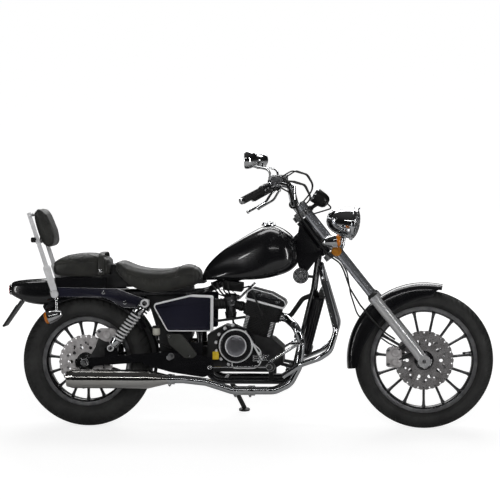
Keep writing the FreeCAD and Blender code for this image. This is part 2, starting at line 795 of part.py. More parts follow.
case_corners = [(bike.case_rear_x, 300), (bike.case_rear_x + 40, bike.case_bottom_z),
                (840, bike.case_bottom_z), (bike.case_front_x, 300), (bike.case_front_x, 372),
                (862, bike.engine_z - 22), (840, bike.engine_z - 12), (720, bike.engine_z + 20),
                (640, bike.engine_z + 40), (bike.case_rear_x, 430)]
base = Vector(bike.engine_x, 0, bike.engine_z)
case_points = [Vector(x, -bike.case_half_width, z) for x, z in case_corners]
case_shape = Part.Face(Part.makePolygon(case_points + case_points[:1])).extrude(
    Vector(0, 2 * bike.case_half_width, 0))
barrel_room = Part.makeBox(400, 400, 300, Vector(-200, -200, 0))
barrel_room.Placement = Placement(base, ENGINE_TURN)
sprocket_room = Part.makeBox(60, 40, 104, Vector(540, 62, bike.pivot_z - 50))
case_shape = case_shape.cut([barrel_room, sprocket_room])
DRIVE = Vector(540, 0, 345)
sprocket_in = bike.rear_hub_width / 2 - bike.chain_side_gap
sprocket_room_width = bike.sprocket_thick + 2 * bike.chain_side_gap
drive_shaft = [Part.makeCylinder(24, 66, DRIVE, ACROSS), Part.makeCylinder(12, 84, DRIVE, ACROSS),
               Part.makeCylinder(bike.drive_sprocket_radius - 1, sprocket_room_width,
                                 DRIVE + Vector(0, sprocket_in, 0), ACROSS)]
mount_ends = [(Vector(890, 84, 300), Vector(front_x - 15, half_cradle - 4, bike.cradle_z + 63)),
              (Vector(590, 84, 290), Vector(578, half_cradle - 4, bike.cradle_z + 16))]
engine_mounts = [rod(Vector(start.x, side * start.y, start.z), Vector(end.x, side * end.y, end.z), 8)
                 for side in (-1, 1) for start, end in mount_ends]
case_shape = case_shape.fuse(drive_shaft + engine_mounts).cut(frame_shape)
node("crankcase", solid("crankcase_shape", case_shape))


def turned_cover(name, x, y, z, radius, depth, side, disc_radius="0", disc_height="0"):
    """A round cover with a rolled edge and, where asked, a raised disc in its middle."""
    owner = body(name, x=x, y=y, z=z)
    edge = "bike.cover_edge"
    face, crest = f"{side} * ({depth})", f"{side} * ({depth} + {disc_height})"
    turn_side = 1 if side < 0 else -1
    corners = [("0", "0"), ("0", radius), (f"{side} * ({depth} - {edge})", radius, edge, turn_side),
               (face, f"{radius} - {edge}")]
    if disc_height != "0":
        corners += [(face, disc_radius), (crest, disc_radius)]
    corners.append((crest, "0"))
    profile = outline(owner, name + "_profile", "YZ", corners)
    turned(owner, profile, "H_Axis")
    return owner


clutch = turned_cover("clutch_cover", "bike.clutch_x", "-bike.case_half_width", "bike.clutch_z",
                      "bike.clutch_radius", "bike.clutch_depth", -1, "bike.clutch_disc_radius", "8")
lower_body = body("lower_cover", y="-bike.case_half_width")
lower_sketch = outline(lower_body, "lower_cover_outline", "XZ", [
    ("bike.clutch_x - 20", "bike.clutch_z - 105"), ("bike.clutch_x + 90", "bike.clutch_z - 105", "26", 1),
    ("bike.clutch_x + 116", "bike.clutch_z - 79"), ("bike.clutch_x + 116", "bike.clutch_z - 20"),
    ("bike.clutch_x + 60", "bike.clutch_z + 30"), ("bike.clutch_x - 20", "bike.clutch_z + 30")])
pad(lower_body, lower_sketch, "bike.lower_cover_depth")
generator = turned_cover("generator_cover", "bike.clutch_x + 60", "bike.case_half_width",
                         "bike.clutch_z - 20", "bike.generator_radius", "bike.generator_depth", 1)
sprocket_cover = block("sprocket_cover", "110", "14", "100", "bike.case_rear_x - 2",
                       "bike.case_half_width", "bike.pivot_z - 32")
node("engine_covers", fuse("right_engine_cover", clutch, lower_body),
     fuse("left_engine_cover", generator, sprocket_cover))

intake = base + ENGINE_TURN.multVec(Vector(-bike.head_fin_length / 2, 0, 101))
intake_way = ENGINE_TURN.multVec(Vector(-1, 0, 0))
carb_centre = Vector(660, 0, 568)
carb = rod(intake, intake + intake_way * 30, 24)
carb = carb.fuse([rod(intake + intake_way * 20, carb_centre, 21),
                  rod(carb_centre, Vector(471.4, 0, 560), 26),
                  rod(carb_centre - Vector(0, 0, 74), carb_centre, 27),
                  rod(carb_centre, carb_centre + Vector(0, 0, 46), 31)])
node("carburettor", solid("carburettor_shape", carb))

# Exhaust

y_out = bike.silencer_y
silencer_front = bike.silencer_x + bike.silencer_length
pipe_y = -half_cradle - bike.frame_tube_radius - bike.header_radius - 4
port_half = bike.head_fin_length / 2
port = base + ENGINE_TURN.multVec(Vector(port_half, -40, 103))
port_way = ENGINE_TURN.multVec(Vector(1, 0, 0))
pipe_points = [port, port + port_way * 30, Vector(968, pipe_y, 470), Vector(992, pipe_y, 400),
               Vector(977, pipe_y, 290), Vector(938, pipe_y - 6, 215), Vector(870, y_out, 185),
               Vector(680, y_out, 184), Vector(560, y_out, 222),
               Vector(silencer_front + 70, y_out, bike.silencer_z),
               Vector(silencer_front, y_out, bike.silencer_z)]
port_flange = rod(port, port + port_way * 8, bike.header_radius + 4)
pipe_clamps = [rod(place, place + Vector(bike.clamp_width, 0, 0), bike.header_radius + 5)
               for place in (Vector(silencer_front + 8, y_out, bike.silencer_z), Vector(760, y_out, 184.4))]
pipe_shape = tube(pipe_points, bike.header_radius, 70).fuse([port_flange] + pipe_clamps)
node("exhaust_pipe", solid("exhaust_pipe_shape", pipe_shape))
silencer_body = body("silencer_body", y="bike.silencer_y", z="bike.silencer_z", x="bike.silencer_x")
silencer_profile = outline(silencer_body, "silencer_profile", "XZ", [
    ("bike.outlet_depth", "0"), ("bike.silencer_length", "0"),
    ("bike.silencer_length", "bike.header_radius + 3"),
    ("bike.silencer_length - 90", "bike.silencer_radius"), ("30", "bike.silencer_radius"),
    ("0", "bike.silencer_radius - 8"), ("0", "bike.outlet_radius"),
    ("bike.outlet_depth", "bike.outlet_radius")])
turned(silencer_body, silencer_profile, "H_Axis")
node("silencer", silencer_body)

# Tank

tank_stations = [(0.0, 0.13, 0.02, 0.16), (0.073, 0.28, 0.01, 0.36), (0.161, 0.44, 0.01, 0.56),
                 (0.245, 0.575, 0.01, 0.71), (0.386, 0.735, 0.0, 0.88), (0.528, 0.88, 0.0, 0.975),
                 (0.671, 0.99, 0.03, 1.0), (0.762, 0.985, 0.07, 0.97), (0.863, 0.90, 0.13, 0.87),
                 (0.945, 0.76, 0.22, 0.66), (1.0, 0.58, 0.34, 0.38)]
tank_height = bike.tank_top_z - bike.tank_low_z
tank_rear_x = head_low.x - bike.tank_head_gap - bike.tank_length
tank_sections = [section(tank_rear_x + along * bike.tank_length, bike.tank_low_z + low * tank_height,
                         bike.tank_low_z + top * tank_height, wide * bike.tank_half_width)
                 for along, top, low, wide in tank_stations]
tank_shape = Part.makeLoft(tank_sections, True, False)
tunnel = tube([backbone[0] + unit(backbone[0] - backbone[1]) * 40] + backbone[1:-1] +
              [backbone[-1] + unit(backbone[-1] - backbone[-2]) * 40], bike.backbone_radius + 0.2, 200)
node("fuel_tank", solid("fuel_tank_shape", tank_shape.cut(tunnel)))
cap_place = Vector(tank_rear_x + bike.tank_length * 0.68, 0, bike.tank_top_z - 6)
node("filler_cap", solid("filler_cap_shape", Part.makeCylinder(30, 16, cap_place).cut(tank_shape)))

# Seats

seat_stations = [(0.0, 0.93, 0.70, 0.72), (0.05, 1.0, 0.56, 0.88), (0.137, 0.92, 0.34, 0.98),
                 (0.213, 0.83, 0.20, 1.0), (0.338, 0.75, 0.07, 1.0), (0.485, 0.72, 0.0, 0.96),
                 (0.654, 0.74, 0.07, 0.86), (0.797, 0.86, 0.16, 0.74), (0.858, 0.89, 0.20, 0.69),
                 (0.944, 0.82, 0.30, 0.62), (1.0, 0.60, 0.42, 0.52)]
seat_height = bike.seat_top_z - bike.seat_low_z
seat_rear = bike.seat_front_x - bike.seat_length
seat_sections = [section(seat_rear + along * bike.seat_length, bike.seat_low_z + low * seat_height,
                         bike.seat_low_z + top * seat_height, wide * bike.seat_half_width, 0.35)
                 for along, top, low, wide in seat_stations]
seat_base_z = bike.seat_rail_z + bike.rail_tube_radius + 2.2
seat_recess = Part.makeBox(800, 2 * (rail_y + bike.rail_tube_radius + 10), 300,
                           Vector(-100, -rail_y - bike.rail_tube_radius - 10, seat_base_z - 300))
seat_shape = Part.makeLoft(seat_sections, True, False).cut(seat_recess)
tank_room = Part.makeLoft(tank_sections, True, False)
node("rider_seat", solid("rider_seat_shape", seat_shape.cut([tank_room, frame_shape])))
pillion_rear = bike.pillion_front_x - bike.pillion_length
pillion_height = bike.pillion_top_z - bike.pillion_low_z
pillion_stations = [(0.0, 0.60, 0.22, 0.80), (0.07, 0.80, 0.08, 0.92), (0.30, 0.95, 0.02, 1.0),
                    (0.65, 1.0, 0.0, 0.98), (0.90, 0.96, 0.04, 0.92), (1.0, 0.76, 0.18, 0.82)]
pillion_sections = [section(pillion_rear + along * bike.pillion_length,
                            bike.pillion_low_z + low * pillion_height,
                            bike.pillion_low_z + top * pillion_height,
                            wide * bike.pillion_half_width, 0.4, 0.95)
                    for along, top, low, wide in pillion_stations]
pillion_shape = Part.makeLoft(pillion_sections, True, False).cut(seat_shape)
node("pillion_seat", solid("pillion_seat_shape", pillion_shape))
base_block = Part.makeBox(236, 200, bike.pillion_low_z - 640, Vector(-140, -100, 640))

# Backrest

pad_body = body("backrest_pad_body")
pad_sketch = outline(pad_body, "backrest_outline", "XZ", [
    ("-247", "998"), ("-214", "1017"), ("-189", "998"), ("-129", "860"), ("-141", "830"),
    ("-169", "816"), ("-207", "834"), ("-245", "954")])
pad_block = pad(pad_body, pad_sketch, "bike.backrest_half_width * 2", midplane=True)
doc.recompute()
rolled = pad_body.newObject("PartDesign::Fillet", "backrest_pad_rolled_edges")
rolled.Base = (pad_block, ["Face9", "Face10"])
rolled.setExpression("Radius", "bike.backrest_edge")
pad_body.Tip = rolled
node("backrest_pad", pad_body)
strap = []
for side in (-1, 1):
    low, top = Vector(-139, side * 107, 623), Vector(-258, side * 107, 985)
    way = unit(top - low)
    across = Vector(way.z, 0, -way.x) * 11
    face = Part.Face(Part.makePolygon([low - across, low + across, top + across * 0.8, top - across * 0.8,
                                       low - across]))
    strap.append(face.extrude(Vector(0, side * 6, 0)))
cross = Part.makeCylinder(8, 228, Vector(-254.6, -114, 975), ACROSS)
lower_cross = Part.makeCylinder(7, 228, Vector(-219.7, -114, 850), ACROSS)
node("backrest_bar", solid("backrest_bar_shape", strap[0].fuse([strap[1], cross, lower_cross])))

# Fenders

def fender_shape(centre, radius, half_width, skirt, start, finish):
    """A channel turned part of the way round the axle; angles are up from the front."""
    thick = bike.fender_thick

    def channel(half, top, foot):
        points = [Vector(0, -half, foot), Vector(0, -half, top - 26), Vector(0, -half * 0.72, top - 7),
                  Vector(0, 0, top), Vector(0, half * 0.72, top - 7), Vector(0, half, top - 26),
                  Vector(0, half, foot)]
        return points

    outer = channel(half_width, radius, skirt)
    inner = channel(half_width - thick, radius - thick, skirt)
    edges = [Part.LineSegment(outer[0], outer[1]), Part.Arc(outer[1], outer[2], outer[3]),
             Part.Arc(outer[3], outer[4], outer[5]), Part.LineSegment(outer[5], outer[6]),
             Part.LineSegment(outer[6], inner[6]), Part.LineSegment(inner[6], inner[5]),
             Part.Arc(inner[5], inner[4], inner[3]), Part.Arc(inner[3], inner[2], inner[1]),
             Part.LineSegment(inner[1], inner[0]), Part.LineSegment(inner[0], outer[0])]
    face = Part.Face(Part.Wire([edge.toShape() for edge in edges]))
    face.rotate(Vector(0, 0, 0), ACROSS, 90 - start)
    shape = face.revolve(Vector(0, 0, 0), Vector(0, -1, 0), finish - start)
    shape.translate(centre)
    return shape


front_fender = fender_shape(FRONT_AXLE, bike.front_radius + bike.fender_gap + bike.fender_thick,
                            bike.front_fender_half_width, bike.front_radius - 16, 76, 187)
fender_bosses = [Part.makeCylinder(11, 16, steered(bike.fork_offset, side * 68 - 8, 313), ACROSS)
                 for side in (-1, 1)]
front_fender = front_fender.fuse(fender_bosses).cut(slider_shapes)
node("front_fender", solid("front_fender_shape", front_fender))
rear_fender = fender_shape(REAR_AXLE, bike.rear_radius + bike.rear_fender_gap, bike.rear_fender_half_width,
                           bike.rear_radius - 8, 30, 129)
cowl_stations = [(-352, 604, 664, 62), (-330, 592, 670, 72), (-280, 566, 676, 84), (-210, 556, 681, 88),
                 (-160, 562, 684, 88), (-140, 572, 684, 86)]
cowl_sections = [section(x, low, top, wide, 0.5, 0.95) for x, low, top, wide in cowl_stations]
cowl = Part.makeLoft(cowl_sections, True, False)
tyre_room = Part.makeCylinder(bike.rear_radius + bike.rear_fender_gap - bike.fender_thick - 1, 300,
                              REAR_AXLE - Vector(0, 150, 0), ACROSS)
cowl = cowl.cut(tyre_room)
rail_room = [Part.makeCylinder(9.3, 2 * rail_y, Vector(-140, -rail_y, bike.seat_rail_z), ACROSS)]
lug_in, lug_out = bike.rear_fender_half_width * 0.7, rail_y - 7
fender_lugs = [rod(Vector(x, side * lug_in, bike.seat_rail_z), Vector(x, side * lug_out, bike.seat_rail_z), 9)
               for x in (-60, 90) for side in (-1, 1)]
rear_shape = rear_fender.fuse([cowl] + fender_lugs)
rail_cutters = [tube(p, bike.rail_tube_radius + 0.3, 60) for p in both(seat_rail)]
rear_shape = rear_shape.cut(rail_cutters + rail_room)
node("rear_fender", solid("rear_fender_shape", rear_shape))
node("seat_base", solid("seat_base_shape", base_block.cut(seat_shape).cut([rear_shape, pillion_shape])))

strut_y = bike.seat_rail_half_width + bike.rail_tube_radius
strut_body = body("strut_body", y=f"-bike.seat_rail_half_width - bike.rail_tube_radius")
strut_sketch = outline(strut_body, "strut_outline", "XZ", [
    ("-139", "601"), ("78", "601"), ("119", "586"), ("177", "553"), ("229", "553"), ("292", "560"),
    ("296", "590"), ("254", "600"), ("148", "640"), ("-139", "645", "22.1", 1)])
pad(strut_body, strut_sketch, "bike.strut_thick")
node("fender_struts", strut_body, mirrored(strut_body))

# Side covers and the box between them

cover_body = body("side_cover_body", y="-bike.cover_half_width + bike.cover_thick")
cover_sketch = outline(cover_body, "side_cover_outline", "XZ", [
    ("381", "449"), ("590", "449"), ("592", "613"), ("494", "617"), ("324", "576"), ("319", "560")])
pad(cover_body, cover_sketch, "bike.cover_thick")
cover_pegs = [Part.makeCylinder(6, 30, Vector(x, -bike.cover_half_width + bike.cover_thick, z), ACROSS)
              for x, z in ((505, 500), (523, 456))]
cover_peg = solid("side_cover_pegs", cover_pegs[0].fuse(cover_pegs[1]).cut(frame_shape))
side_cover = fuse("right_side_cover", cover_body, cover_peg)
node("side_covers", side_cover, mirrored(side_cover))
box_shape = Part.makeBox(118, 140, 190, Vector(352, -70, 410))
node("air_box", solid("air_box_shape", box_shape))

# Bars, controls and mirrors

bar_points = [steered(18, -1, 925), steered(18, -70, 925), Vector(938, -215, 1108), Vector(880, -290, 1122),
              Vector(736, -400, 1043)]
right_bar = tube(bar_points, bike.bar_radius, 55)
left_points = [Vector(p.x, -p.y, p.z) for p in bar_points]
bar_shape = right_bar.fuse([tube(left_points, bike.bar_radius, 55),
                            rod(steered(18, -1.5, 925), steered(18, 1.5, 925), bike.bar_radius)])
grip_way = unit(bar_points[-1] - bar_points[-2])
grip_end = bar_points[-1] + grip_way * 6
grip_start = grip_end - grip_way * bike.grip_length
risers = [rod(steered(18, side, stem_top), steered(18, side, 925), 13) for side in (-45, 45)]
clamps = [Part.makeCylinder(19, 30, steered(18, side - 15, 925), ACROSS) for side in (-45, 45)]
riser_shape = risers[0].fuse([clamps[0]]).cut(bar_shape)
node("handlebar", solid("handlebar_shape", bar_shape))
node("bar_risers", solid("right_riser", riser_shape), solid("left_riser", flipped(riser_shape)))
grip = rod(grip_start, grip_end, bike.grip_radius).cut(rod(grip_start - grip_way * 5, bar_points[-1],
                                                          bike.bar_radius))
node("hand_grips", solid("right_grip", grip), solid("left_grip", flipped(grip)))
housing = rod(grip_start - grip_way * 44, grip_start - grip_way * 0.5, 22)
lever_root = grip_start - grip_way * 40
lever = tube([lever_root + Vector(18, 8, -20), grip_start + grip_way * 20 + Vector(34, 10, -42),
              grip_start + grip_way * 110 + Vector(22, 10, -50)], 6, 60)
reservoir = Part.makeBox(52, 44, 34, grip_start - grip_way * 50 + Vector(0, -10, 16))
perch = rod(lever_root + Vector(18, 8, -20), lever_root, 10)
controls = housing.fuse([lever, reservoir, perch]).cut(bar_shape)
node("hand_controls", solid("right_controls", controls), solid("left_controls", flipped(controls)))

mirror_place = Vector(768, -402, 1228)
stalk_low = grip_start - grip_way * 30 + Vector(0, 0, 20)
stalk = tube([stalk_low, stalk_low + Vector(10, -30, 60), mirror_place + Vector(14, 24, -22)], 5, 60)
shell = Part.makeSphere(1)
matrix = FreeCAD.Matrix()
matrix.scale(34, 62, 44)
shell = shell.transformGeometry(matrix)
shell.translate(mirror_place)
mirror_shape = shell.fuse(stalk.cut(bar_shape)).cut(controls)
node("mirrors", solid("right_mirror", mirror_shape), solid("left_mirror", flipped(mirror_shape)))

# Lamps

LAMP_TURN = Rotation(ACROSS, bike.lamp_droop)
LAMP_CENTRE = Vector(bike.lamp_x, 0, bike.lamp_z)


def in_lamp(along, up=0):
    """A point of the lamp's middle plane, given along its drooping axis and square to it."""
    return LAMP_CENTRE + LAMP_TURN.multVec(Vector(along, 0, up))


lamp_body = body("headlight_body", x="bike.lamp_x", z="bike.lamp_z")
lamp_body.Placement.Rotation = LAMP_TURN
lamp_profile = outline(lamp_body, "headlight_profile", "XZ", [
    ("-132", "0"), ("-128", "24", "bike.lamp_radius * 1.9", -1),
    ("-34", "bike.lamp_radius - 3"), ("-14", "bike.lamp_radius - 2"),
    ("-14", "bike.lamp_radius + bike.lamp_ring"),
    ("0", "bike.lamp_radius + bike.lamp_ring"), ("0", "0")])
turned(lamp_body, lamp_profile, "H_Axis")
lamp_stem = solid("headlight_stem", tube([steered(39, 0, stem_low + 13), steered(76, 0, stem_low + 13),
                                          in_lamp(-42, -60)], 10, 20))
peak_outer = bike.lamp_radius + bike.lamp_ring
peak_way = LAMP_TURN.multVec(Vector(1, 0, 0))
peak = Part.makeCylinder(peak_outer, bike.peak_length, in_lamp(-4), peak_way, 360)
peak = peak.cut(Part.makeCylinder(peak_outer - 3, bike.peak_length, in_lamp(0), peak_way))
peak_room = Part.makeBox(300, 2 * peak_outer, 2 * peak_outer, Vector(-150, -peak_outer, -2 * peak_outer))
peak_room.Placement = Placement(in_lamp(0, peak_outer * 0.62), LAMP_TURN)
peak_slope = Part.makeBox(300, 2 * peak_outer, 300, Vector(0, -peak_outer, -300))
peak_slope.Placement = Placement(in_lamp(bike.peak_length - 4, peak_outer),
                                 LAMP_TURN * Rotation(ACROSS, 38))
peak = solid("headlight_peak", peak.cut([peak_room, peak_slope]))
node("headlight", fuse("headlight_shape", lamp_body, peak, cut("headlight_stem_end", lamp_stem, low_yoke)))
lens_body = body("lens_body", x="bike.lamp_x", z="bike.lamp_z")
lens_body.Placement.Rotation = LAMP_TURN
lens_profile = outline(lens_body, "lens_profile", "XZ", [
    ("0", "0"), ("22", "0", "bike.lamp_radius * 2", 1), ("0", "bike.lamp_radius - 6")])
turned(lens_body, lens_profile, "H_Axis")
node("headlight_lens", lens_body)

meter_face = Vector(1041, 0, 1071)
meter_way = unit(Vector(0.81, 0, -0.58))
meter = rod(meter_face, meter_face + meter_way * 78, 36)
meter_foot = rod(steered(39, 0, stem_top - 13), steered(70, 0, stem_top - 13), 9)
meter_arm = rod(steered(64, 0, stem_top - 13), meter_face + meter_way * 50, 9)
meter_cup = solid("speedometer_cup", meter.fuse([meter_foot, meter_arm]))
node("speedometer", cut("speedometer_shape", meter_cup, top_yoke))


def indicator(name, centre, way, stalk):
    """A bullet lamp: a round lens in front of a body that tapers away from it, on its stalk."""
    shell = rod(centre - way * 78, centre - way * 10, 14, 31)
    glass = rod(centre - way * 10, centre + way * 10, 31)
    return solid(name, shell.fuse([glass, stalk]))


front_way = unit(Vector(1, 0, 0.12))
front_place = head_low + Vector(56, -170, 64)
clamp_up = bike.head_bottom + 17
clamp_place = steered(bike.fork_offset, -half_fork, clamp_up)
front_clamp = rod(steered(bike.fork_offset, -half_fork, clamp_up - 12),
                  steered(bike.fork_offset, -half_fork, clamp_up + 12), bike.fork_tube_radius + 5)
front_stalk = rod(clamp_place, front_place - front_way * 40, 7).fuse(front_clamp)
front_stalk = front_stalk.cut(rod(steered(bike.fork_offset, -half_fork, bike.slider_top),
                                  steered(bike.fork_offset, -half_fork, bike.tube_top),
                                  bike.fork_tube_radius))
front_lamp = indicator("right_front_indicator", front_place, front_way, front_stalk)
rear_way = unit(Vector(-0.95, 0, -0.31))
rear_place = Vector(-170, -150, 507)
rear_root = rear_place - rear_way * 40
strut_middle = -strut_y - bike.strut_thick / 2
rear_stalk = tube([rear_root, Vector(rear_root.x, strut_middle, rear_root.z + 6),
                   Vector(rear_root.x, strut_middle, 601)], 7, 20)
rear_lamp = indicator("right_rear_indicator", rear_place, rear_way, rear_stalk)
reflector_place = steered(bike.fork_offset, -half_fork - bike.yoke_boss_radius - 8, stem_low + 13)
reflector_shape = Part.makeCylinder(bike.reflector_radius, 12, reflector_place, ACROSS)
reflector = cut("right_reflector", solid("reflector_disc", reflector_shape), low_yoke)
node("front_indicators", front_lamp, mirrored(front_lamp), reflector, mirrored(reflector))
node("rear_indicators", rear_lamp, mirrored(rear_lamp))
tail_block = Part.makeBox(12, 96, 48, Vector(-352 - 12, -48, 606))
tail_shape = tail_block.makeFillet(7, [e for e in tail_block.Edges if e.BoundBox.XMax < -352 - 5])
node("tail_light", solid("tail_light_shape", tail_shape))
plate_corners = [Vector(-326, 0, 561), Vector(-392, 0, 462), Vector(-384, 0, 458), Vector(-290, 0, 590),
                 Vector(-297.5, 0, 598), Vector(-323.5, 0, 559)]
bracket_face = Part.Face(Part.makePolygon([corner - Vector(0, 60, 0)
                                           for corner in plate_corners + plate_corners[:1]]))
node("plate_bracket", solid("plate_bracket_shape", bracket_face.extrude(Vector(0, 120, 0)).cut(cowl)))

# Guards, radiator, horn and small parts

guard_route = [(99, -24, 748), (115, -150, 680), (175, -250, 465), (147, -256, 372), (100, -246, 340),
               (15, -196, 306), (-67, -184, 251)]
guard_points = [Vector(front_x + ahead, side, up) for ahead, side, up in guard_route]
guards = [solid(f"{word}_guard", tube(points, bike.guard_tube_radius, 60).cut(frame_shape))
          for word, points in zip(("right", "left"), both(guard_points))]
node("crash_bars", *guards)
tank_block = Part.makeBox(bike.radiator_depth, bike.radiator_width, bike.radiator_tank,
                          Vector(0, -bike.radiator_width / 2, 0))
low_tank = tank_block.makeFillet(7, tank_block.Edges)
top_tank = low_tank.copy()
top_tank.translate(Vector(0, 0, bike.radiator_height - bike.radiator_tank))
core = Part.makeBox(bike.core_depth, bike.radiator_width - 12, bike.radiator_height - bike.radiator_tank,
                    Vector((bike.radiator_depth - bike.core_depth) / 2, -bike.radiator_width / 2 + 6,
                           bike.radiator_tank / 2))
filler = Part.makeCylinder(14, 16, Vector(bike.radiator_depth / 2, 60, bike.radiator_height - 4))
radiator_shape = low_tank.fuse([top_tank, core, filler])
radiator_foot = Vector(front_x + 20, 0, bike.cradle_z + 124)
radiator_shape.Placement = Placement(radiator_foot, Rotation(ACROSS, bike.radiator_tilt))
radiator_lugs = [rod(radiator_foot + Vector(ahead, side * wide, up),
                     radiator_foot + Vector(ahead + 40, side * wide, up), 6)
                 for ahead, wide, up in ((6, 85, 90), (35, 67, 210)) for side in (-1, 1)]
radiator_shape = radiator_shape.fuse(radiator_lugs).cut(frame_shape)
node("radiator", solid("radiator_shape", radiator_shape))
water_hose = tube([base + ENGINE_TURN.multVec(Vector(port_half, 20, 110)),
                   base + ENGINE_TURN.multVec(Vector(port_half + 40, 20, 110)),
                   radiator_foot + Vector(-5, 20, 244), radiator_foot + Vector(67, 20, 272)], 11, 40)
node("radiator_hose", solid("radiator_hose_shape", water_hose.cut(radiator_shape)))
horn_place = head_low + Vector(-117, -70, -100)
horn = Part.makeCylinder(36, 26, horn_place, Vector(0, -1, 0))
horn = horn.fuse(rod(horn_place - Vector(0, 2, 0), horn_place + Vector(67, 24, -8), 7)).cut(frame_shape)
node("horn", solid("horn_shape", horn))

peg_root, peg_elbow, peg_end = Vector(853, -112, 226), Vector(853, -150, 290), Vector(853, -290, 303)
peg_way = unit(peg_end - peg_elbow)
peg_sleeve = rod(peg_end - peg_way * 104, peg_end - peg_way * 4, 17)
peg_flange = rod(peg_end - peg_way * 112, peg_end - peg_way * 104, 21)
peg_right = tube([peg_root, peg_elbow, peg_end], 12, 20).fuse([peg_sleeve, peg_flange]).cut(frame_shape)
node("foot_pegs", solid("right_peg", peg_right), solid("left_peg", flipped(peg_right)))
pedal = tube([Vector(835, -140, 300), Vector(870, -190, 330), Vector(975, -240, 400)], 7, 30)
pedal_pad = Part.makeBox(60, 40, 12, Vector(945, -262, 400))
pedal_pad = pedal_pad.makeFillet(4, pedal_pad.Edges)
link_rear, link_front = Vector(576, -165, 288), Vector(826, -165, 292)
linkage = rod(link_rear, link_front, 5).fuse([
    rod(link_front - Vector(26, 0, 0.4), link_front + Vector(8, 0, 0), 8),
    rod(link_front, Vector(834, -140, 300), 6), Part.makeSphere(8, link_rear)])
gear = tube([Vector(700, 160, 330), Vector(860, 190, 330), Vector(975, 240, 400)], 7, 30)
gear = gear.fuse(Part.makeCylinder(9, 24, Vector(705, bike.case_half_width + 46, 330), ACROSS))
node("foot_levers", solid("brake_pedal_shape", pedal.fuse([pedal_pad, linkage])),
     solid("gear_lever_shape", gear))

# Calipers

def caliper(corner, length, width, height, piston_radius, piston_count):
    """A rounded caliper body with its piston housings standing out on the right."""
    shape = Part.makeBox(length, width, height, corner)
    shape = shape.makeFillet(9, shape.Edges)
    step = height / piston_count
    middles = [corner + Vector(length / 2, 4, step * (k + 0.5)) for k in range(piston_count)]
    pistons = [Part.makeCylinder(piston_radius, 12, middle, -ACROSS) for middle in middles]
    return shape.fuse(pistons)


def room_for_disc(end, axle):
    """The space that a brake disc runs in between the pads."""
    hub_face = value(f"bike.{end}_hub_width") / 2
    start = axle - Vector(0, hub_face + bike.disc_thick + bike.pad_clearance, 0)
    return Part.makeCylinder(value(f"bike.{end}_disc_radius") + 4, bike.disc_thick + 2 * bike.pad_clearance,
                             start, ACROSS)


front_caliper = caliper(Vector(bike.wheelbase - 172, -96, bike.front_radius - 30), 70, 60, 90, 18, 2)
spoke_room = Part.makeCylinder(400, 300, FRONT_AXLE - Vector(0, 46, 0), ACROSS)
caliper_back = FRONT_AXLE - Vector(120, 86, 0)
caliper_lugs = [rod(caliper_back + Vector(0, 0, rise), steered(bike.fork_offset, -88, up), 9)
                for rise, up in ((2, 52), (46, 108))]
front_rooms = [room_for_disc("front", FRONT_AXLE), spoke_room]
front_caliper = front_caliper.fuse(caliper_lugs).cut(front_rooms + slider_shapes)
node("front_caliper", solid("front_caliper_shape", front_caliper))
rear_caliper = caliper(Vector(50, -102, 395), 90, 50, 60, 20, 1)
rear_caliper = rear_caliper.cut([room_for_disc("rear", REAR_AXLE), arm_shape])
master = Part.makeBox(110, 22, 90, PIVOT + Vector(-90, -half_cradle - 41, 3))
master = master.makeFillet(6, master.Edges).cut(pivot_bolt)
node("rear_brake", solid("rear_caliper_shape", rear_caliper), solid("master_shape", master))

# Brake hose and speedometer cable, which turn with the fork

hose_route = [Vector(905, -262, 1146), Vector(926, -257, 1138), Vector(940, -236, 1098),
              Vector(958, -192, 1046), steered(14, -122, 872), steered(9, -104, 795),
              steered(4, -103, 700), steered(5, -104, 640), steered(23, -106, 585),
              steered(14, -104, 545), steered(-14, -105, 465), steered(-24, -106, 380),
              steered(-22, -104, 290), steered(-14, -98, 210), steered(2, -86, 158)]
drive_unit = Part.makeCylinder(24, half_fork - bike.slider_radius - bike.front_hub_width / 2 - 1,
                               FRONT_AXLE + Vector(0, bike.front_hub_width / 2 + 1, 0), ACROSS)
drive_unit = drive_unit.cut(Part.makeCylinder(bike.front_axle_radius, 200, FRONT_AXLE, ACROSS))
meter_back = meter_face + meter_way * 78
cable_route = [meter_back, meter_back + Vector(20, 14, -20), steered(20, 62, 850),
               steered(8, 100, 795), steered(4, 103, 700), steered(5, 104, 640),
               steered(23, 106, 585), steered(12, 105, 525), steered(-36, 105, 440),
               steered(-70, 104, 350), steered(-70, 98, 250), steered(-40, 84, 150),
               steered(8, 68, 60), FRONT_AXLE + Vector(-14, 64, 14)]
brake_hose = tube(hose_route, bike.hose_radius, 90)
cable = tube(cable_route, bike.cable_radius, 70)
node("front_cables", solid("brake_hose", brake_hose.cut([front_caliper, controls])),
     solid("speedometer_cable", cable.cut([drive_unit, meter])), solid("speedometer_drive", drive_unit))

# Chain

CHAIN_WAY = DRIVE - REAR_AXLE
wrap_angle = math.acos((bike.sprocket_radius - bike.drive_sprocket_radius) / CHAIN_WAY.Length)
slope_angle = math.atan2(CHAIN_WAY.z, CHAIN_WAY.x)


def off_sprockets(turn):
    """The way from either sprocket's centre to where a straight run of the chain leaves it."""
    return Vector(math.cos(slope_angle + turn), 0, math.sin(slope_angle + turn))


def chain_loop(grow, y, thick):
    """The space inside the chain's line, grown outwards."""
    rear, front = bike.sprocket_radius + grow, bike.drive_sprocket_radius + grow
    side = Vector(0, y, 0)
    above, below = off_sprockets(wrap_angle), off_sprockets(-wrap_angle)
    corners = [REAR_AXLE + above * rear + side, DRIVE + above * front + side,
               DRIVE + below * front + side, REAR_AXLE + below * rear + side]
    middle = Part.Face(Part.makePolygon(corners + corners[:1])).extrude(Vector(0, thick, 0))
    return middle.fuse([Part.makeCylinder(rear, thick, REAR_AXLE + side, ACROSS),
                        Part.makeCylinder(front, thick, DRIVE + side, ACROSS)])


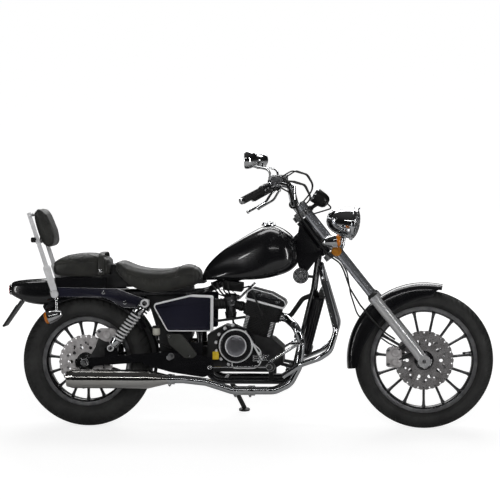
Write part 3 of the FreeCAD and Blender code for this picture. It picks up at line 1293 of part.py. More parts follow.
def chain_band(y):
    """The link plates on one side, joined into a band that runs round both sprockets."""
    half = bike.chain_height / 2
    return chain_loop(half, y, bike.chain_plate).cut(chain_loop(-half, y, bike.chain_plate))


def roller(place):
    """A six-sided roller between the two bands."""
    corners = [place + Vector(math.cos(math.pi * k / 3), 0, math.sin(math.pi * k / 3)) * bike.roller_radius
               for k in range(7)]
    return Part.Face(Part.makePolygon(corners)).extrude(Vector(0, 2 * band_gap, 0))


chain_centre = bike.rear_hub_width / 2 + bike.sprocket_thick / 2
band_gap = bike.sprocket_thick / 2 + bike.chain_side_gap
rollers = []
for turn in (wrap_angle, -wrap_angle):
    start = REAR_AXLE + off_sprockets(turn) * bike.sprocket_radius
    run = DRIVE + off_sprockets(turn) * bike.drive_sprocket_radius - start
    for k in range(4, int(run.Length / bike.chain_pitch) - 1):
        rollers.append(roller(start + unit(run) * (k * bike.chain_pitch)
                              + Vector(0, chain_centre - band_gap, 0)))
right_band = chain_band(chain_centre - band_gap - bike.chain_plate)
left_band = chain_band(chain_centre + band_gap)
node("drive_chain", solid("drive_chain_shape", right_band.fuse([left_band] + rollers)))
guard_box = Part.makeBox(330, 22, 4, Vector(20, 70, 420))
guard_feet = [Part.makeBox(16, 4, 100, Vector(x, 88, 322)) for x in (60, 300)]
node("chain_guard", solid("chain_guard_shape", guard_box.fuse(guard_feet).cut(arm_shape)))

# Side stand, on the left

floor_up = Vector(0, -math.sin(lean), math.cos(lean))
leg = rod(stand_pivot, foot + floor_up * 12, bike.stand_tube_radius)
pad_plate = Part.makeCylinder(26, 7, foot, floor_up)
stand_eye = rod(stand_pivot - stand_axis * 8, stand_pivot + stand_axis * 8, 16)
pin_hole = rod(stand_pivot - stand_axis * 20, stand_pivot + stand_axis * 20, 6 + bike.bore_clearance)
node("side_stand", solid("side_stand_shape", leg.fuse([pad_plate, stand_eye]).cut(pin_hole)))

# Lean the whole machine on to its stand and set the origin below the middle of its box

doc.recompute()
lean_turn = Rotation(Vector(1, 0, 0), -bike.lean)
lifted = Placement(Vector(0, 0, 0), lean_turn)
box = FreeCAD.BoundBox()
for group in NODES:
    shape = group.Shape.copy()
    shape.Placement = lifted.multiply(shape.Placement)
    box.add(shape.optimalBoundingBox(False, False))
shift = Vector(-(box.XMin + box.XMax) / 2, -(box.YMin + box.YMax) / 2, -box.ZMin)
for group in NODES:
    group.Placement = Placement(shift, lean_turn)
doc.recompute()

failed = [item.Name for item in doc.Objects if {"Invalid", "Error"} & set(item.State)]
for group in NODES:
    if group.Shape.isNull() or not group.Shape.isValid() or not group.Shape.Solids:
        failed.append(group.Label)
if failed:
    raise RuntimeError("these pieces did not build: " + ", ".join(failed))

os.makedirs("parts", exist_ok=True)
for group in NODES:
    Part.makeCompound(group.Shape.Solids).exportStep(f"parts/{group.Label}.step")
print(f"{len(NODES)} sub-parts, box {box.XLength:.1f} x {box.YLength:.1f} x {box.ZLength:.1f} mm")
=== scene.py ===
# %% [markdown]
# # A cruiser motorcycle, dressed for its picture
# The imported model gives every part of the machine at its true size, already leaning on its side stand.
# Here each part gets the surface that a camera sees: paint, chrome, rubber, cast alloy and padded vinyl.
# Where a plain solid is too plain, a finer mesh takes its place and moves with the same body.

# %% Load the frame
import bpy
import bmesh
import json
import math
import numpy as np
from mathutils import Matrix, Quaternion, Vector


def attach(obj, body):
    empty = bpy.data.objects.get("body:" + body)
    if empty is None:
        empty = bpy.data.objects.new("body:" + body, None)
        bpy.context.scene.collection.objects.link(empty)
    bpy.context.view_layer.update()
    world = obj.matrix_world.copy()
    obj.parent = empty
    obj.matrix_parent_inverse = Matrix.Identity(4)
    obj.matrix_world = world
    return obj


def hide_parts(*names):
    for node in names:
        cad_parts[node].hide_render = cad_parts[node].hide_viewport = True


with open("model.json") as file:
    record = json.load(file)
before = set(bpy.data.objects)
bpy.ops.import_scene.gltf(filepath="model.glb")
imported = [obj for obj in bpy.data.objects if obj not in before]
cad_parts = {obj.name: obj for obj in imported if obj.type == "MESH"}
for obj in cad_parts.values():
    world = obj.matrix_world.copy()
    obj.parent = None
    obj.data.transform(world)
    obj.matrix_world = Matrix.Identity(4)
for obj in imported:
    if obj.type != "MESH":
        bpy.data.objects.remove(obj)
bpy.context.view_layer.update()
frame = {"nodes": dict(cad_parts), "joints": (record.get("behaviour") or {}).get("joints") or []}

# %% [markdown]
# The machine leans by ten degrees, which is awkward to model in. So every new piece is worked out
# upright, in millimetres: x forward from the rear axle, y to the rider's left, z up from the road.
# The two wheel joints tell where that upright set of axes lies in the frame, so nothing is typed twice.

# %% Find the upright axes
joints = {joint["name"]: joint for joint in frame["joints"]}
rear_axle = Vector(joints["rear_wheel_spin"]["pos_m"])
front_axle = Vector(joints["front_wheel_spin"]["pos_m"])
LEFT = Vector(joints["rear_wheel_spin"]["axis"]).normalized()
AHEAD = Vector((1, 0, 0))
UP = AHEAD.cross(LEFT).normalized()
REAR_RADIUS = 302
MILLI = 0.001
turn = Matrix((AHEAD, LEFT, UP)).transposed().to_4x4()
BIKE = Matrix.Translation(rear_axle - UP * REAR_RADIUS * MILLI) @ turn @ Matrix.Scale(MILLI, 4)
WHEELBASE = (front_axle - rear_axle).dot(AHEAD) / MILLI
FRONT_RADIUS = REAR_RADIUS + (front_axle - rear_axle).dot(UP) / MILLI
print("wheelbase", round(WHEELBASE), "front radius", round(FRONT_RADIUS), "mm")

# %% [markdown]
# The camera stands far off to the right with a long lens, as for a catalogue picture. It is placed in
# the machine's upright axes too, so that the leaning machine looks upright in the picture.

# %% Camera
PICTURE = 500
FOCAL_PIXELS = 2074.45
CAMERA_PLACE = Vector((1360.84, -9500, 1184.71))
CAMERA_YAW = math.radians(3.690)
CAMERA_PITCH = math.radians(2.232)
look = Vector((-math.sin(CAMERA_YAW) * math.cos(CAMERA_PITCH),
               math.cos(CAMERA_YAW) * math.cos(CAMERA_PITCH), -math.sin(CAMERA_PITCH)))
aside = Vector((math.cos(CAMERA_YAW), math.sin(CAMERA_YAW), 0))
axes = Matrix((aside, aside.cross(look), -look)).transposed()
camera = bpy.data.objects.new("camera", bpy.data.cameras.new("camera"))
bpy.context.scene.collection.objects.link(camera)
camera.matrix_world = Matrix.Translation(BIKE @ CAMERA_PLACE) @ turn @ axes.to_4x4()
camera.data.sensor_width = 36
camera.data.lens = FOCAL_PIXELS / PICTURE * camera.data.sensor_width
camera.data.clip_end = 200
bpy.context.scene.camera = camera
print("lens", round(camera.data.lens, 1), "mm, camera height", round(camera.matrix_world.translation.z, 2),
      "m")

# %% [markdown]
# Black paint and chrome have hardly any colour of their own: they show the room. So the room matters.
# A wide soft light hangs overhead, a tall strip stands on each side, and what the glossy parts see
# level with themselves is dark, as in a studio with black walls. A fill light that mirrors don't show
# lifts the dull rubber and vinyl. The floor is pale and bare.

# %% Studio room and floor
scene = bpy.context.scene
scene.view_settings.view_transform = "Standard"
world = bpy.data.worlds.new("studio")
scene.world = world
world.use_nodes = True
nodes, links = world.node_tree.nodes, world.node_tree.links
direction = nodes.new("ShaderNodeTexCoord")
height = nodes.new("ShaderNodeSeparateXYZ")
bands = nodes.new("ShaderNodeValToRGB")
stops = bands.color_ramp.elements
stops[0].color, stops[1].color = (0.08, 0.08, 0.08, 1), (0.08, 0.08, 0.08, 1)
for at_height, grey in ((0.47, 0.08), (0.52, 0.012), (0.72, 0.018)):
    stops.new(at_height).color = (grey, grey, grey, 1)
shift = nodes.new("ShaderNodeMapRange")
shift.inputs["From Min"].default_value = -1
links.new(direction.outputs["Generated"], height.inputs["Vector"])
links.new(height.outputs["Z"], shift.inputs["Value"])
links.new(shift.outputs["Result"], bands.inputs["Fac"])
room = nodes["Background"]
links.new(bands.outputs["Color"], room.inputs["Color"])
room.inputs["Strength"].default_value = 0.5
pale = nodes.new("ShaderNodeBackground")
pale.inputs["Color"].default_value = (0.99, 0.99, 0.99, 1)
chosen = nodes.new("ShaderNodeMixShader")
rays = nodes.new("ShaderNodeLightPath")
links.new(rays.outputs["Is Camera Ray"], chosen.inputs["Fac"])
links.new(room.outputs["Background"], chosen.inputs[1])
links.new(pale.outputs["Background"], chosen.inputs[2])
links.new(chosen.outputs["Shader"], nodes["World Output"].inputs["Surface"])


def softbox(name, place, aim, width, depth, watts):
    """A large area light that points at a spot, which the camera doesn't see."""
    light = bpy.data.lights.new(name, "AREA")
    light.shape = "RECTANGLE"
    light.size, light.size_y, light.energy = width, depth, watts
    lamp = bpy.data.objects.new(name, light)
    scene.collection.objects.link(lamp)
    lamp.location = place
    lamp.rotation_euler = (Vector(aim) - Vector(place)).to_track_quat("-Z", "Y").to_euler()
    lamp.visible_camera = False
    return lamp


softbox("overhead", (0.0, 1.0, 3.2), (0.0, 0.0, 0.4), 3.6, 0.8, 30)
softbox("near_strip", (0.1, -4.6, 3.3), (0.0, 0.0, 0.7), 3.2, 0.16, 9)
softbox("back_strip", (0.1, 3.0, 3.6), (0.0, 0.0, 0.6), 3.2, 0.16, 20)
softbox("front_strip", (3.2, -2.2, 1.3), (0.4, 0.0, 0.6), 0.22, 2.4, 22)
softbox("rear_strip", (-3.2, -2.4, 1.4), (-0.4, 0.0, 0.6), 0.22, 2.4, 18)
softbox("far_side", (0.0, 3.8, 2.4), (0.0, 0.0, 0.6), 3.6, 1.5, 50)
fill = softbox("fill", (0.3, -4.2, 2.4), (0.0, 0.0, 0.5), 4.0, 2.0, 78)
fill.visible_glossy = False

# %% [markdown]
# Every finish is a Principled shader. What is even all over is set straight on the shader, and small
# helpers add what varies: cloudy tints, patchy gloss and fine relief, all in the object's own metres.

# %% Helpers for finishes
def finish(name, colour, roughness, metallic=0.0, **sockets):
    """A material whose even values are set straight on its shader."""
    material = bpy.data.materials.new(name)
    material.use_nodes = True
    shader = material.node_tree.nodes["Principled BSDF"]
    shader.inputs["Base Color"].default_value = (*colour, 1)
    shader.inputs["Roughness"].default_value = roughness
    shader.inputs["Metallic"].default_value = metallic
    for socket, number in sockets.items():
        shader.inputs[socket.replace("_", " ").title().replace("Ior", "IOR")].default_value = number
    return material


def node_in(material, kind, **inputs):
    """A new node with its inputs set, where a name is written with underscores."""
    made = material.node_tree.nodes.new("ShaderNode" + kind)
    for socket, number in inputs.items():
        made.inputs[socket.replace("_", " ").title()].default_value = number
    return made


def join(material, source, target):
    material.node_tree.links.new(source, target)


def shader_of(material):
    return material.node_tree.nodes["Principled BSDF"]


def cloud(material, scale, detail=4.0, stretch=(1, 1, 1)):
    """Soft noise in the object's own metres, which can be drawn out along an axis."""
    place = node_in(material, "TexCoord")
    drawn = node_in(material, "Mapping", scale=stretch)
    noise = node_in(material, "TexNoise", scale=scale, detail=detail)
    join(material, place.outputs["Object"], drawn.inputs["Vector"])
    join(material, drawn.outputs["Vector"], noise.inputs["Vector"])
    return noise.outputs["Fac"]


def cells(material, scale):
    """The rounded cells of leather grain or cast skin."""
    place = node_in(material, "TexCoord")
    pattern = node_in(material, "TexVoronoi", scale=scale)
    join(material, place.outputs["Object"], pattern.inputs["Vector"])
    return pattern.outputs["Distance"]


def ranged(material, source, low, high):
    """The source spread between two numbers."""
    spread = node_in(material, "MapRange", from_min=0.3, from_max=0.7, to_min=low, to_max=high)
    join(material, source, spread.inputs["Value"])
    return spread.outputs["Result"]


def gloss(material, scale, low, high, detail=4.0, stretch=(1, 1, 1)):
    """Roughness that drifts between two numbers."""
    source = cloud(material, scale, detail, stretch)
    join(material, ranged(material, source, low, high), shader_of(material).inputs["Roughness"])


def tint(material, scale, dark, light):
    """Base colour that wanders between two colours."""
    ramp = material.node_tree.nodes.new("ShaderNodeValToRGB")
    for stop, position, colour in zip(ramp.color_ramp.elements, (0.3, 0.7), (dark, light)):
        stop.position, stop.color = position, (*colour, 1)
    join(material, cloud(material, scale), ramp.inputs["Fac"])
    join(material, ramp.outputs["Color"], shader_of(material).inputs["Base Color"])


def bumps_from(material, source, depth, strength):
    """Fine bumps, with their depth in metres."""
    bump = node_in(material, "Bump", strength=strength, distance=depth)
    join(material, source, bump.inputs["Height"])
    join(material, bump.outputs["Normal"], shader_of(material).inputs["Normal"])


def relief(material, scale, depth, strength, detail=4.0):
    """Cloudy bumps, as in paint, rubber and rough castings."""
    bumps_from(material, cloud(material, scale, detail), depth, strength)


def grain(material, scale, depth, strength):
    """Bumps in small rounded cells, as in leather and cast skin."""
    bumps_from(material, cells(material, scale), depth, strength)


# %% [markdown]
# The paints: a deep black lacquer for tank, fenders and frame, and a bluish black for the side covers.
# A clear coat gives the sharp highlight, and a barely seen waviness keeps it from looking like glass.

# %% Paints
floor_paint = finish("floor_paint", (0.42, 0.42, 0.42), 0.8, specular_ior_level=0.0)
relief(floor_paint, 40, 0.0004, 0.15)
seen = node_in(floor_paint, "LightPath")
glow = node_in(floor_paint, "MapRange")
spot = node_in(floor_paint, "TexCoord")
away = node_in(floor_paint, "VectorMath")
away.operation = "LENGTH"
brighter = node_in(floor_paint, "MapRange", from_min=1.2, from_max=3.0, to_min=0.78, to_max=0.99)
join(floor_paint, spot.outputs["Object"], away.inputs[0])
join(floor_paint, away.outputs["Value"], brighter.inputs["Value"])
join(floor_paint, brighter.outputs["Result"], glow.inputs["To Max"])
join(floor_paint, seen.outputs["Is Camera Ray"], glow.inputs["Value"])
join(floor_paint, glow.outputs["Result"], shader_of(floor_paint).inputs["Emission Strength"])
shader_of(floor_paint).inputs["Emission Color"].default_value = (1, 1, 1, 1)

black_gloss = finish("black_gloss", (0.006, 0.006, 0.007), 0.22, coat_weight=1.0, coat_roughness=0.02)
gloss(black_gloss, 9, 0.16, 0.28)
relief(black_gloss, 160, 0.00004, 0.12, 2)

blue_black = finish("blue_black", (0.013, 0.013, 0.026), 0.25, coat_weight=1.0, coat_roughness=0.05)
tint(blue_black, 5, (0.008, 0.008, 0.015), (0.015, 0.015, 0.028))
relief(blue_black, 160, 0.00004, 0.12, 2)

satin_black = finish("satin_black", (0.014, 0.014, 0.015), 0.42)
tint(satin_black, 30, (0.005, 0.005, 0.0055), (0.012, 0.012, 0.0125))
gloss(satin_black, 60, 0.34, 0.52)
relief(satin_black, 900, 0.00012, 0.35, 3)

cast_black = finish("cast_black", (0.018, 0.018, 0.019), 0.5, specular_ior_level=0.6)
tint(cast_black, 40, (0.006, 0.006, 0.0065), (0.018, 0.018, 0.0185))
gloss(cast_black, 80, 0.36, 0.6)
grain(cast_black, 1400, 0.00025, 0.5)

# %% [markdown]
# The metals: mirror chrome, polished and brushed alloy, and the ground steel of the discs and chain.
# Chrome is never perfectly even, so its roughness drifts a little, like the haze of a wiping cloth.

# %% Metals
chrome = finish("chrome", (0.86, 0.87, 0.88), 0.05, 1.0)
gloss(chrome, 14, 0.025, 0.075)
relief(chrome, 60, 0.00003, 0.10, 2)

hard_chrome = finish("hard_chrome", (0.74, 0.76, 0.82), 0.14, 0.86)
tint(hard_chrome, 20, (0.68, 0.70, 0.76), (0.80, 0.82, 0.86))
gloss(hard_chrome, 60, 0.10, 0.18)

warm_chrome = finish("warm_chrome", (0.80, 0.78, 0.74), 0.12, 1.0)
tint(warm_chrome, 6, (0.70, 0.67, 0.62), (0.84, 0.83, 0.81))
gloss(warm_chrome, 20, 0.06, 0.16, 4, (0.2, 1, 1))

alloy = finish("alloy", (0.60, 0.60, 0.61), 0.28, 1.0)
tint(alloy, 18, (0.48, 0.48, 0.49), (0.66, 0.66, 0.67))
gloss(alloy, 120, 0.20, 0.36)
relief(alloy, 700, 0.00008, 0.3, 3)

slider_alloy = finish("slider_alloy", (0.80, 0.80, 0.81), 0.22, 0.6)
tint(slider_alloy, 16, (0.70, 0.70, 0.72), (0.84, 0.84, 0.84))
gloss(slider_alloy, 90, 0.16, 0.28)

spoke_grey = finish("spoke_grey", (0.10, 0.10, 0.105), 0.3, 0.7)
tint(spoke_grey, 40, (0.07, 0.07, 0.073), (0.13, 0.13, 0.135))
gloss(spoke_grey, 200, 0.22, 0.40)

dull_alloy = finish("dull_alloy", (0.36, 0.36, 0.37), 0.45, 1.0)
tint(dull_alloy, 25, (0.24, 0.24, 0.25), (0.44, 0.44, 0.45))
gloss(dull_alloy, 90, 0.36, 0.55)
grain(dull_alloy, 1200, 0.0002, 0.4)

disc_steel = finish("disc_steel", (0.30, 0.29, 0.29), 0.3, 0.5)
tint(disc_steel, 30, (0.20, 0.19, 0.19), (0.36, 0.35, 0.35))
gloss(disc_steel, 220, 0.22, 0.40, 2)

pale_casting = finish("pale_casting", (0.52, 0.50, 0.50), 0.4, 0.35)
tint(pale_casting, 35, (0.38, 0.36, 0.36), (0.62, 0.60, 0.60))
gloss(pale_casting, 150, 0.32, 0.5)
grain(pale_casting, 1300, 0.00015, 0.4)

chain_steel = finish("chain_steel", (0.30, 0.28, 0.25), 0.4, 1.0)
tint(chain_steel, 60, (0.12, 0.11, 0.10), (0.42, 0.38, 0.32))
gloss(chain_steel, 200, 0.28, 0.55)

# %% [markdown]
# The soft and clear materials: tyre rubber, grip and hose rubber, the
# grained vinyl of the seats, and the coloured plastics of the lamps.

# %% Rubber, vinyl and plastics
tyre_rubber = finish("tyre_rubber", (0.022, 0.022, 0.022), 0.62, specular_ior_level=0.4)
tint(tyre_rubber, 12, (0.015, 0.015, 0.015), (0.032, 0.032, 0.031))
gloss(tyre_rubber, 50, 0.5, 0.75)
relief(tyre_rubber, 600, 0.0002, 0.4, 3)

soft_rubber = finish("soft_rubber", (0.016, 0.016, 0.016), 0.55)
tint(soft_rubber, 40, (0.010, 0.010, 0.010), (0.024, 0.024, 0.024))
relief(soft_rubber, 900, 0.0001, 0.4, 2)

vinyl = finish("vinyl", (0.020, 0.020, 0.018), 0.42, sheen_weight=0.12, sheen_roughness=0.5)
tint(vinyl, 16, (0.015, 0.015, 0.014), (0.029, 0.029, 0.025))
gloss(vinyl, 45, 0.34, 0.52)
grain(vinyl, 620, 0.00035, 0.5)

black_plastic = finish("black_plastic", (0.012, 0.012, 0.012), 0.35)
tint(black_plastic, 30, (0.004, 0.004, 0.004), (0.009, 0.009, 0.009))
grain(black_plastic, 1500, 0.0001, 0.3)

amber = finish("amber", (0.85, 0.24, 0.01), 0.12, transmission_weight=0.35, coat_weight=0.6)
tint(amber, 30, (0.78, 0.19, 0.005), (0.92, 0.30, 0.02))
orange_lens = finish("orange_lens", (0.40, 0.15, 0.01), 0.15, coat_weight=0.5)
tint(orange_lens, 50, (0.32, 0.11, 0.008), (0.46, 0.19, 0.02))
red_lens = finish("red_lens", (0.50, 0.008, 0.008), 0.10, transmission_weight=0.25, coat_weight=0.8)
tint(red_lens, 30, (0.38, 0.004, 0.004), (0.58, 0.012, 0.012))
clear_glass = finish("clear_glass", (0.96, 0.97, 0.98), 0.02, transmission_weight=0.92, ior=1.45)
relief(clear_glass, 60, 0.00005, 0.15, 2)
mirror_glass = finish("mirror_glass", (0.93, 0.94, 0.95), 0.01, 1.0)
gloss(mirror_glass, 10, 0.005, 0.03)
yellow_plastic = finish("yellow_plastic", (0.75, 0.52, 0.02), 0.45)
tint(yellow_plastic, 60, (0.66, 0.44, 0.01), (0.80, 0.58, 0.04))
milky_plastic = finish("milky_plastic", (0.55, 0.54, 0.46), 0.4, transmission_weight=0.2)
tint(milky_plastic, 40, (0.46, 0.45, 0.38), (0.60, 0.59, 0.52))
dial_face = finish("dial_face", (0.02, 0.02, 0.022), 0.4)
tint(dial_face, 100, (0.016, 0.016, 0.018), (0.026, 0.026, 0.028))
print(len(bpy.data.materials), "finishes made")

# %% [markdown]
# New shapes are plain lists of points and faces in upright millimetres. A handful of makers is enough
# for a motorcycle: turned parts, rods, bent tubes, slabs cut from an outline, and skins over sections.

# %% Makers of shapes
ACROSS, SIDE, SKY = Vector((1, 0, 0)), Vector((0, 1, 0)), Vector((0, 0, 1))


def square_to(way):
    """Two directions square to a way and to each other; the first is level when it can be."""
    way = Vector(way).normalized()
    level = way.cross(SKY)
    if level.length < 0.02:
        level = ACROSS.copy()
    level.normalize()
    return level, way.cross(level).normalized()


def wheel_way(angle):
    """A direction in the machine's middle plane, counted from straight ahead."""
    return Vector((math.cos(angle), 0, math.sin(angle)))


def skin(rings, closed=True, caps=True):
    """Faces between rings of equal count; caps close both ends."""
    count = len(rings[0])
    points = [point for ring in rings for point in ring]
    faces = []
    for k in range(len(rings) - 1):
        for j in range(count if closed else count - 1):
            following = (j + 1) % count
            faces.append((k * count + j, k * count + following,
                          (k + 1) * count + following, (k + 1) * count + j))
    if caps:
        faces.append(tuple(range(count))[::-1])
        faces.append(tuple(range((len(rings) - 1) * count, len(rings) * count)))
    return points, faces


def turned(start, way, profile, steps=48, caps=True, sweep=360):
    """A profile of (along, radius) turned about an axis that starts at a point."""
    start, way = Vector(start), Vector(way).normalized()
    level, square = square_to(way)
    whole = sweep == 360
    count = steps if whole else steps + 1
    rings = []
    for along, radius in profile:
        angles = [math.radians(sweep) * k / steps for k in range(count)]
        rings.append([start + way * along + (level * math.cos(a) + square * math.sin(a)) * max(radius, 0.01)
                      for a in angles])
    return skin(rings, whole, caps and whole)


def rod(start, end, radius, end_radius=None, steps=24):
    length = (Vector(end) - Vector(start)).length
    return turned(start, Vector(end) - Vector(start),
                  [(0, radius), (length, radius if end_radius is None else end_radius)], steps)


def ring(centre, way, radius, thick, steps=64, sides=12):
    """A round ring, such as a bead of chrome or a sealing lip."""
    profile = [(thick * math.sin(2 * math.pi * k / sides), radius + thick * math.cos(2 * math.pi * k / sides))
               for k in range(sides + 1)]
    return turned(centre, way, profile, steps, caps=False)


def line_through(points, bend):
    """Points along straight runs joined by arcs."""
    points = [Vector(p) for p in points]
    line = [points[0]]
    for before, corner, after in zip(points, points[1:], points[2:]):
        back, ahead = (before - corner).normalized(), (after - corner).normalized()
        half_turn = (math.pi - back.angle(ahead)) / 2
        if half_turn < 0.01:
            line.append(corner)
            continue
        reach = min(bend * math.tan(half_turn), 0.47 * min((before - corner).length, (after - corner).length))
        radius = reach / math.tan(half_turn)
        inward = (back + ahead).normalized()
        centre = corner + inward * (radius / math.cos(half_turn))
        first = corner + back * reach - centre
        axis = first.cross(corner + ahead * reach - centre).normalized()
        steps = max(3, int(math.degrees(half_turn) / 4))
        line += [centre + Quaternion(axis, 2 * half_turn * k / steps) @ first for k in range(steps + 1)]
    line.append(points[-1])
    return line


def along(line, radius, steps=16, caps=True, squash=1.0):
    """A tube round a line; the radius may be one number or one for each point."""
    line = [Vector(p) for p in line]
    radii = radius if isinstance(radius, (list, tuple)) else [radius] * len(line)
    ways = [(line[min(k + 1, len(line) - 1)] - line[max(k - 1, 0)]).normalized() for k in range(len(line))]
    level, square = square_to(ways[0])
    rings = []
    for k, (place, way) in enumerate(zip(line, ways)):
        if k:
            turn_by = ways[k - 1].rotation_difference(way)
            level, square = turn_by @ level, turn_by @ square
        rings.append([place + (level * math.cos(a) + square * squash * math.sin(a)) * radii[k]
                      for a in (2 * math.pi * j / steps for j in range(steps))])
    return skin(rings, True, caps)


def tube(points, radius, bend=60, steps=20):
    return along(line_through(points, bend), radius, steps)


def slab(outline, depth):
    """A flat outline of points pushed out by a vector."""
    near = [Vector(p) for p in outline]
    far = [p + Vector(depth) for p in near]
    return skin([near, far])


def brick(low, high):
    (a, b, c), (d, e, f) = low, high
    return slab([(a, b, c), (d, b, c), (d, b, f), (a, b, f)], (0, e - b, 0))


def flipped(shape):
    """The same shape on the other side of the machine."""
    points, faces = shape
    return [Vector((x, -y, z)) for x, y, z in points], [face[::-1] for face in faces]


def both(*shapes):
    return list(shapes) + [flipped(shape) for shape in shapes]


def hex_head(place, way, across, height=4.0, washer=True):
    """A bolt head with a little washer under it."""
    place, way = Vector(place), Vector(way).normalized()
    start = 0.8 if washer else 0.0
    head = turned(place + way * start, way, [(0, across / 1.73), (height * 0.8, across / 1.73),
                                             (height, across / 2.1)], 6)
    if not washer:
        return [head]
    return [turned(place, way, [(0, across * 0.72), (0.8, across * 0.72)], 16), head]


def socket_head(place, way, radius, height=5.0):
    """A round bolt head with a six-sided recess."""
    place, way = Vector(place), Vector(way).normalized()
    outer = turned(place, way, [(0, radius), (height * 0.85, radius), (height, radius * 0.88),
                                (height, radius * 0.55)], 18, caps=False)
    recess = turned(place, way, [(height, radius * 0.56), (height * 0.45, radius * 0.5)], 6, caps=False)
    floor = turned(place, way, [(height * 0.45, radius * 0.52), (height * 0.45, 0)], 6, caps=False)
    return [outer, recess, floor]


# %% [markdown]
# One function turns shapes into a piece of the scene. It joins them, gives each group its finish,
# rounds the edges where asked, puts the mesh in its place in the frame and lets it ride on its body.

# %% The maker of pieces
def piece(name, body, *groups, round_edges=0.0, smooth=35, divide=0, replaces=()):
    """A mesh from groups of (finish, [shapes]); sizes and round_edges are upright millimetres."""
    points, faces, finishes = [], [], []
    for index, (material, shapes) in enumerate(groups):
        for shape_points, shape_faces in shapes:
            start = len(points)
            points += [BIKE @ Vector(p) for p in shape_points]
            faces += [tuple(start + k for k in face) for face in shape_faces]
            finishes += [index] * len(shape_faces)
    mesh = bpy.data.meshes.new(name)
    mesh.from_pydata(points, [], faces)
    for material, shapes in groups:
        mesh.materials.append(material)
    mesh.polygons.foreach_set("material_index", finishes)
    work = bmesh.new()
    work.from_mesh(mesh)
    bmesh.ops.remove_doubles(work, verts=work.verts, dist=0.00001)
    bmesh.ops.recalc_face_normals(work, faces=work.faces)
    work.to_mesh(mesh)
    work.free()
    made = bpy.data.objects.new(name, mesh)
    scene.collection.objects.link(made)
    if round_edges:
        rounding = made.modifiers.new("round_edges", "BEVEL")
        rounding.width = round_edges * MILLI
        rounding.segments = 2
        rounding.limit_method = "ANGLE"
        rounding.angle_limit = math.radians(40)
    if divide:
        smoothing = made.modifiers.new("divide", "SUBSURF")
        smoothing.levels = smoothing.render_levels = divide
    if made.modifiers:
        settle(made)
    made.data.polygons.foreach_set("use_smooth", [True] * len(made.data.polygons))
    made.data.set_sharp_from_angle(angle=math.radians(smooth))
    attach(made, body)
    if replaces:
        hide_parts(*replaces)
    print(name, len(made.data.polygons), "faces")


def settle(made):
    """Work the modifiers of a piece into its mesh."""
    finished = bpy.data.meshes.new_from_object(made.evaluated_get(bpy.context.evaluated_depsgraph_get()))
    made.modifiers.clear()
    made.data = finished


# %% [markdown]
# The floor is one large plane. It belongs to the studio.

# %% Floor
floor = bpy.data.meshes.new("floor")
reach = 60
floor.from_pydata([(-reach, -reach, 0), (reach, -reach, 0), (reach, reach, 0), (-reach, reach, 0)], [],
                  [(0, 1, 2, 3)])
floor.materials.append(floor_paint)
floor_object = bpy.data.objects.new("floor", floor)
scene.collection.objects.link(floor_object)

# %% [markdown]
# Tubes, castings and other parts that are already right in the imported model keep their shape. They get
# a finish here, and smooth shading that breaks only at real edges: it changes how light runs over the
# mesh and not the mesh itself. The other parts are left for finer meshes in the cells below.

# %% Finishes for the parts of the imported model
nodes_of = frame["nodes"]
kept = {
    "black_gloss": ["frame", "swingarm", "seat_base"],
    "cast_black": ["crankcase"],
    "satin_black": ["radiator", "side_stand", "air_box", "chain_guard", "plate_bracket"],
    "chrome": ["handlebar", "bar_risers", "crash_bars", "exhaust_pipe"],
    "warm_chrome": ["silencer"],
    "slider_alloy": ["fork_sliders"],
    "hard_chrome": ["fork_tubes"],
    "alloy": ["front_axle", "rear_axle", "steering_yokes"],
    "soft_rubber": ["radiator_hose", "front_cables"]}


def dress(node, material):
    """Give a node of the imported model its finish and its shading."""
    mesh = nodes_of[node].data
    mesh.materials.clear()
    mesh.materials.append(material)
    mesh.polygons.foreach_set("material_index", [0] * len(mesh.polygons))
    mesh.polygons.foreach_set("use_smooth", [True] * len(mesh.polygons))
    mesh.set_sharp_from_angle(angle=math.radians(32))


for material_name, node_names in kept.items():
    for node_name in node_names:
        dress(node_name, bpy.data.materials[material_name])
print("left for the cells below:", sorted(set(nodes_of).difference(*kept.values())))

# %% [markdown]
# ## Wheels
# The tyres carry most of the picture's black. A real tyre has a rounded crown with grooves cut at a
# slant, a plain shoulder, and fine rings moulded into the wall. The grooves are made by sinking the
# points of the mesh, and the mesh lines themselves are slanted so that each groove keeps a crisp edge.

# %% Tyres
WHEELS = {
    "front": {"centre": Vector((WHEELBASE, 0, FRONT_RADIUS)), "radius": FRONT_RADIUS, "half": 50, "rim": 29,
              "bead": 228.6, "hub": 46, "hub_half": 56, "pitches": 64, "disc": 135, "axle": 8},
    "rear": {"centre": Vector((0, 0, REAR_RADIUS)), "radius": REAR_RADIUS, "half": 65, "rim": 45,
             "bead": 190.5, "hub": 50, "hub_half": 75, "pitches": 56, "disc": 125, "axle": 9}}
GROOVE_STEPS = 6


def tyre_section(wheel):
    """Half-section from the bead over the crown to the other bead: (side, radius, tread share)."""
    half, radius, crown = wheel["half"], wheel["radius"], wheel["radius"] - wheel["half"]
    wall = []
    for k in range(13):
        t = k / 12
        side = wheel["rim"] + (half - wheel["rim"]) * math.sin(t * math.pi / 2) ** 0.8
        at_radius = wheel["bead"] + 13 + (crown - wheel["bead"] - 13) * t
        ridge = 0.9 if k in (3, 9) else 0.0
        wall.append((side + ridge, at_radius, 0.0))
    over = []
    for k in range(1, 40):
        angle = math.radians(90 - 180 * k / 40)
        over.append((half * math.sin(angle), crown + half * math.cos(angle),
                     1 - abs(angle) / math.radians(66)))
    return wall + over + [(-side, at_radius, share) for side, at_radius, share in reversed(wall)]


def groove_depth(share, step, side, half):
    """How far a point of the crown sinks: a middle channel, and slanted grooves out to the shoulder."""
    if share <= 0:
        return 0.0
    across = abs(side) / half
    if across < 0.05:
        return 4.0
    if step in (0, 1) and 0.16 < across < 0.88:
        return 4.2
    return 0.0


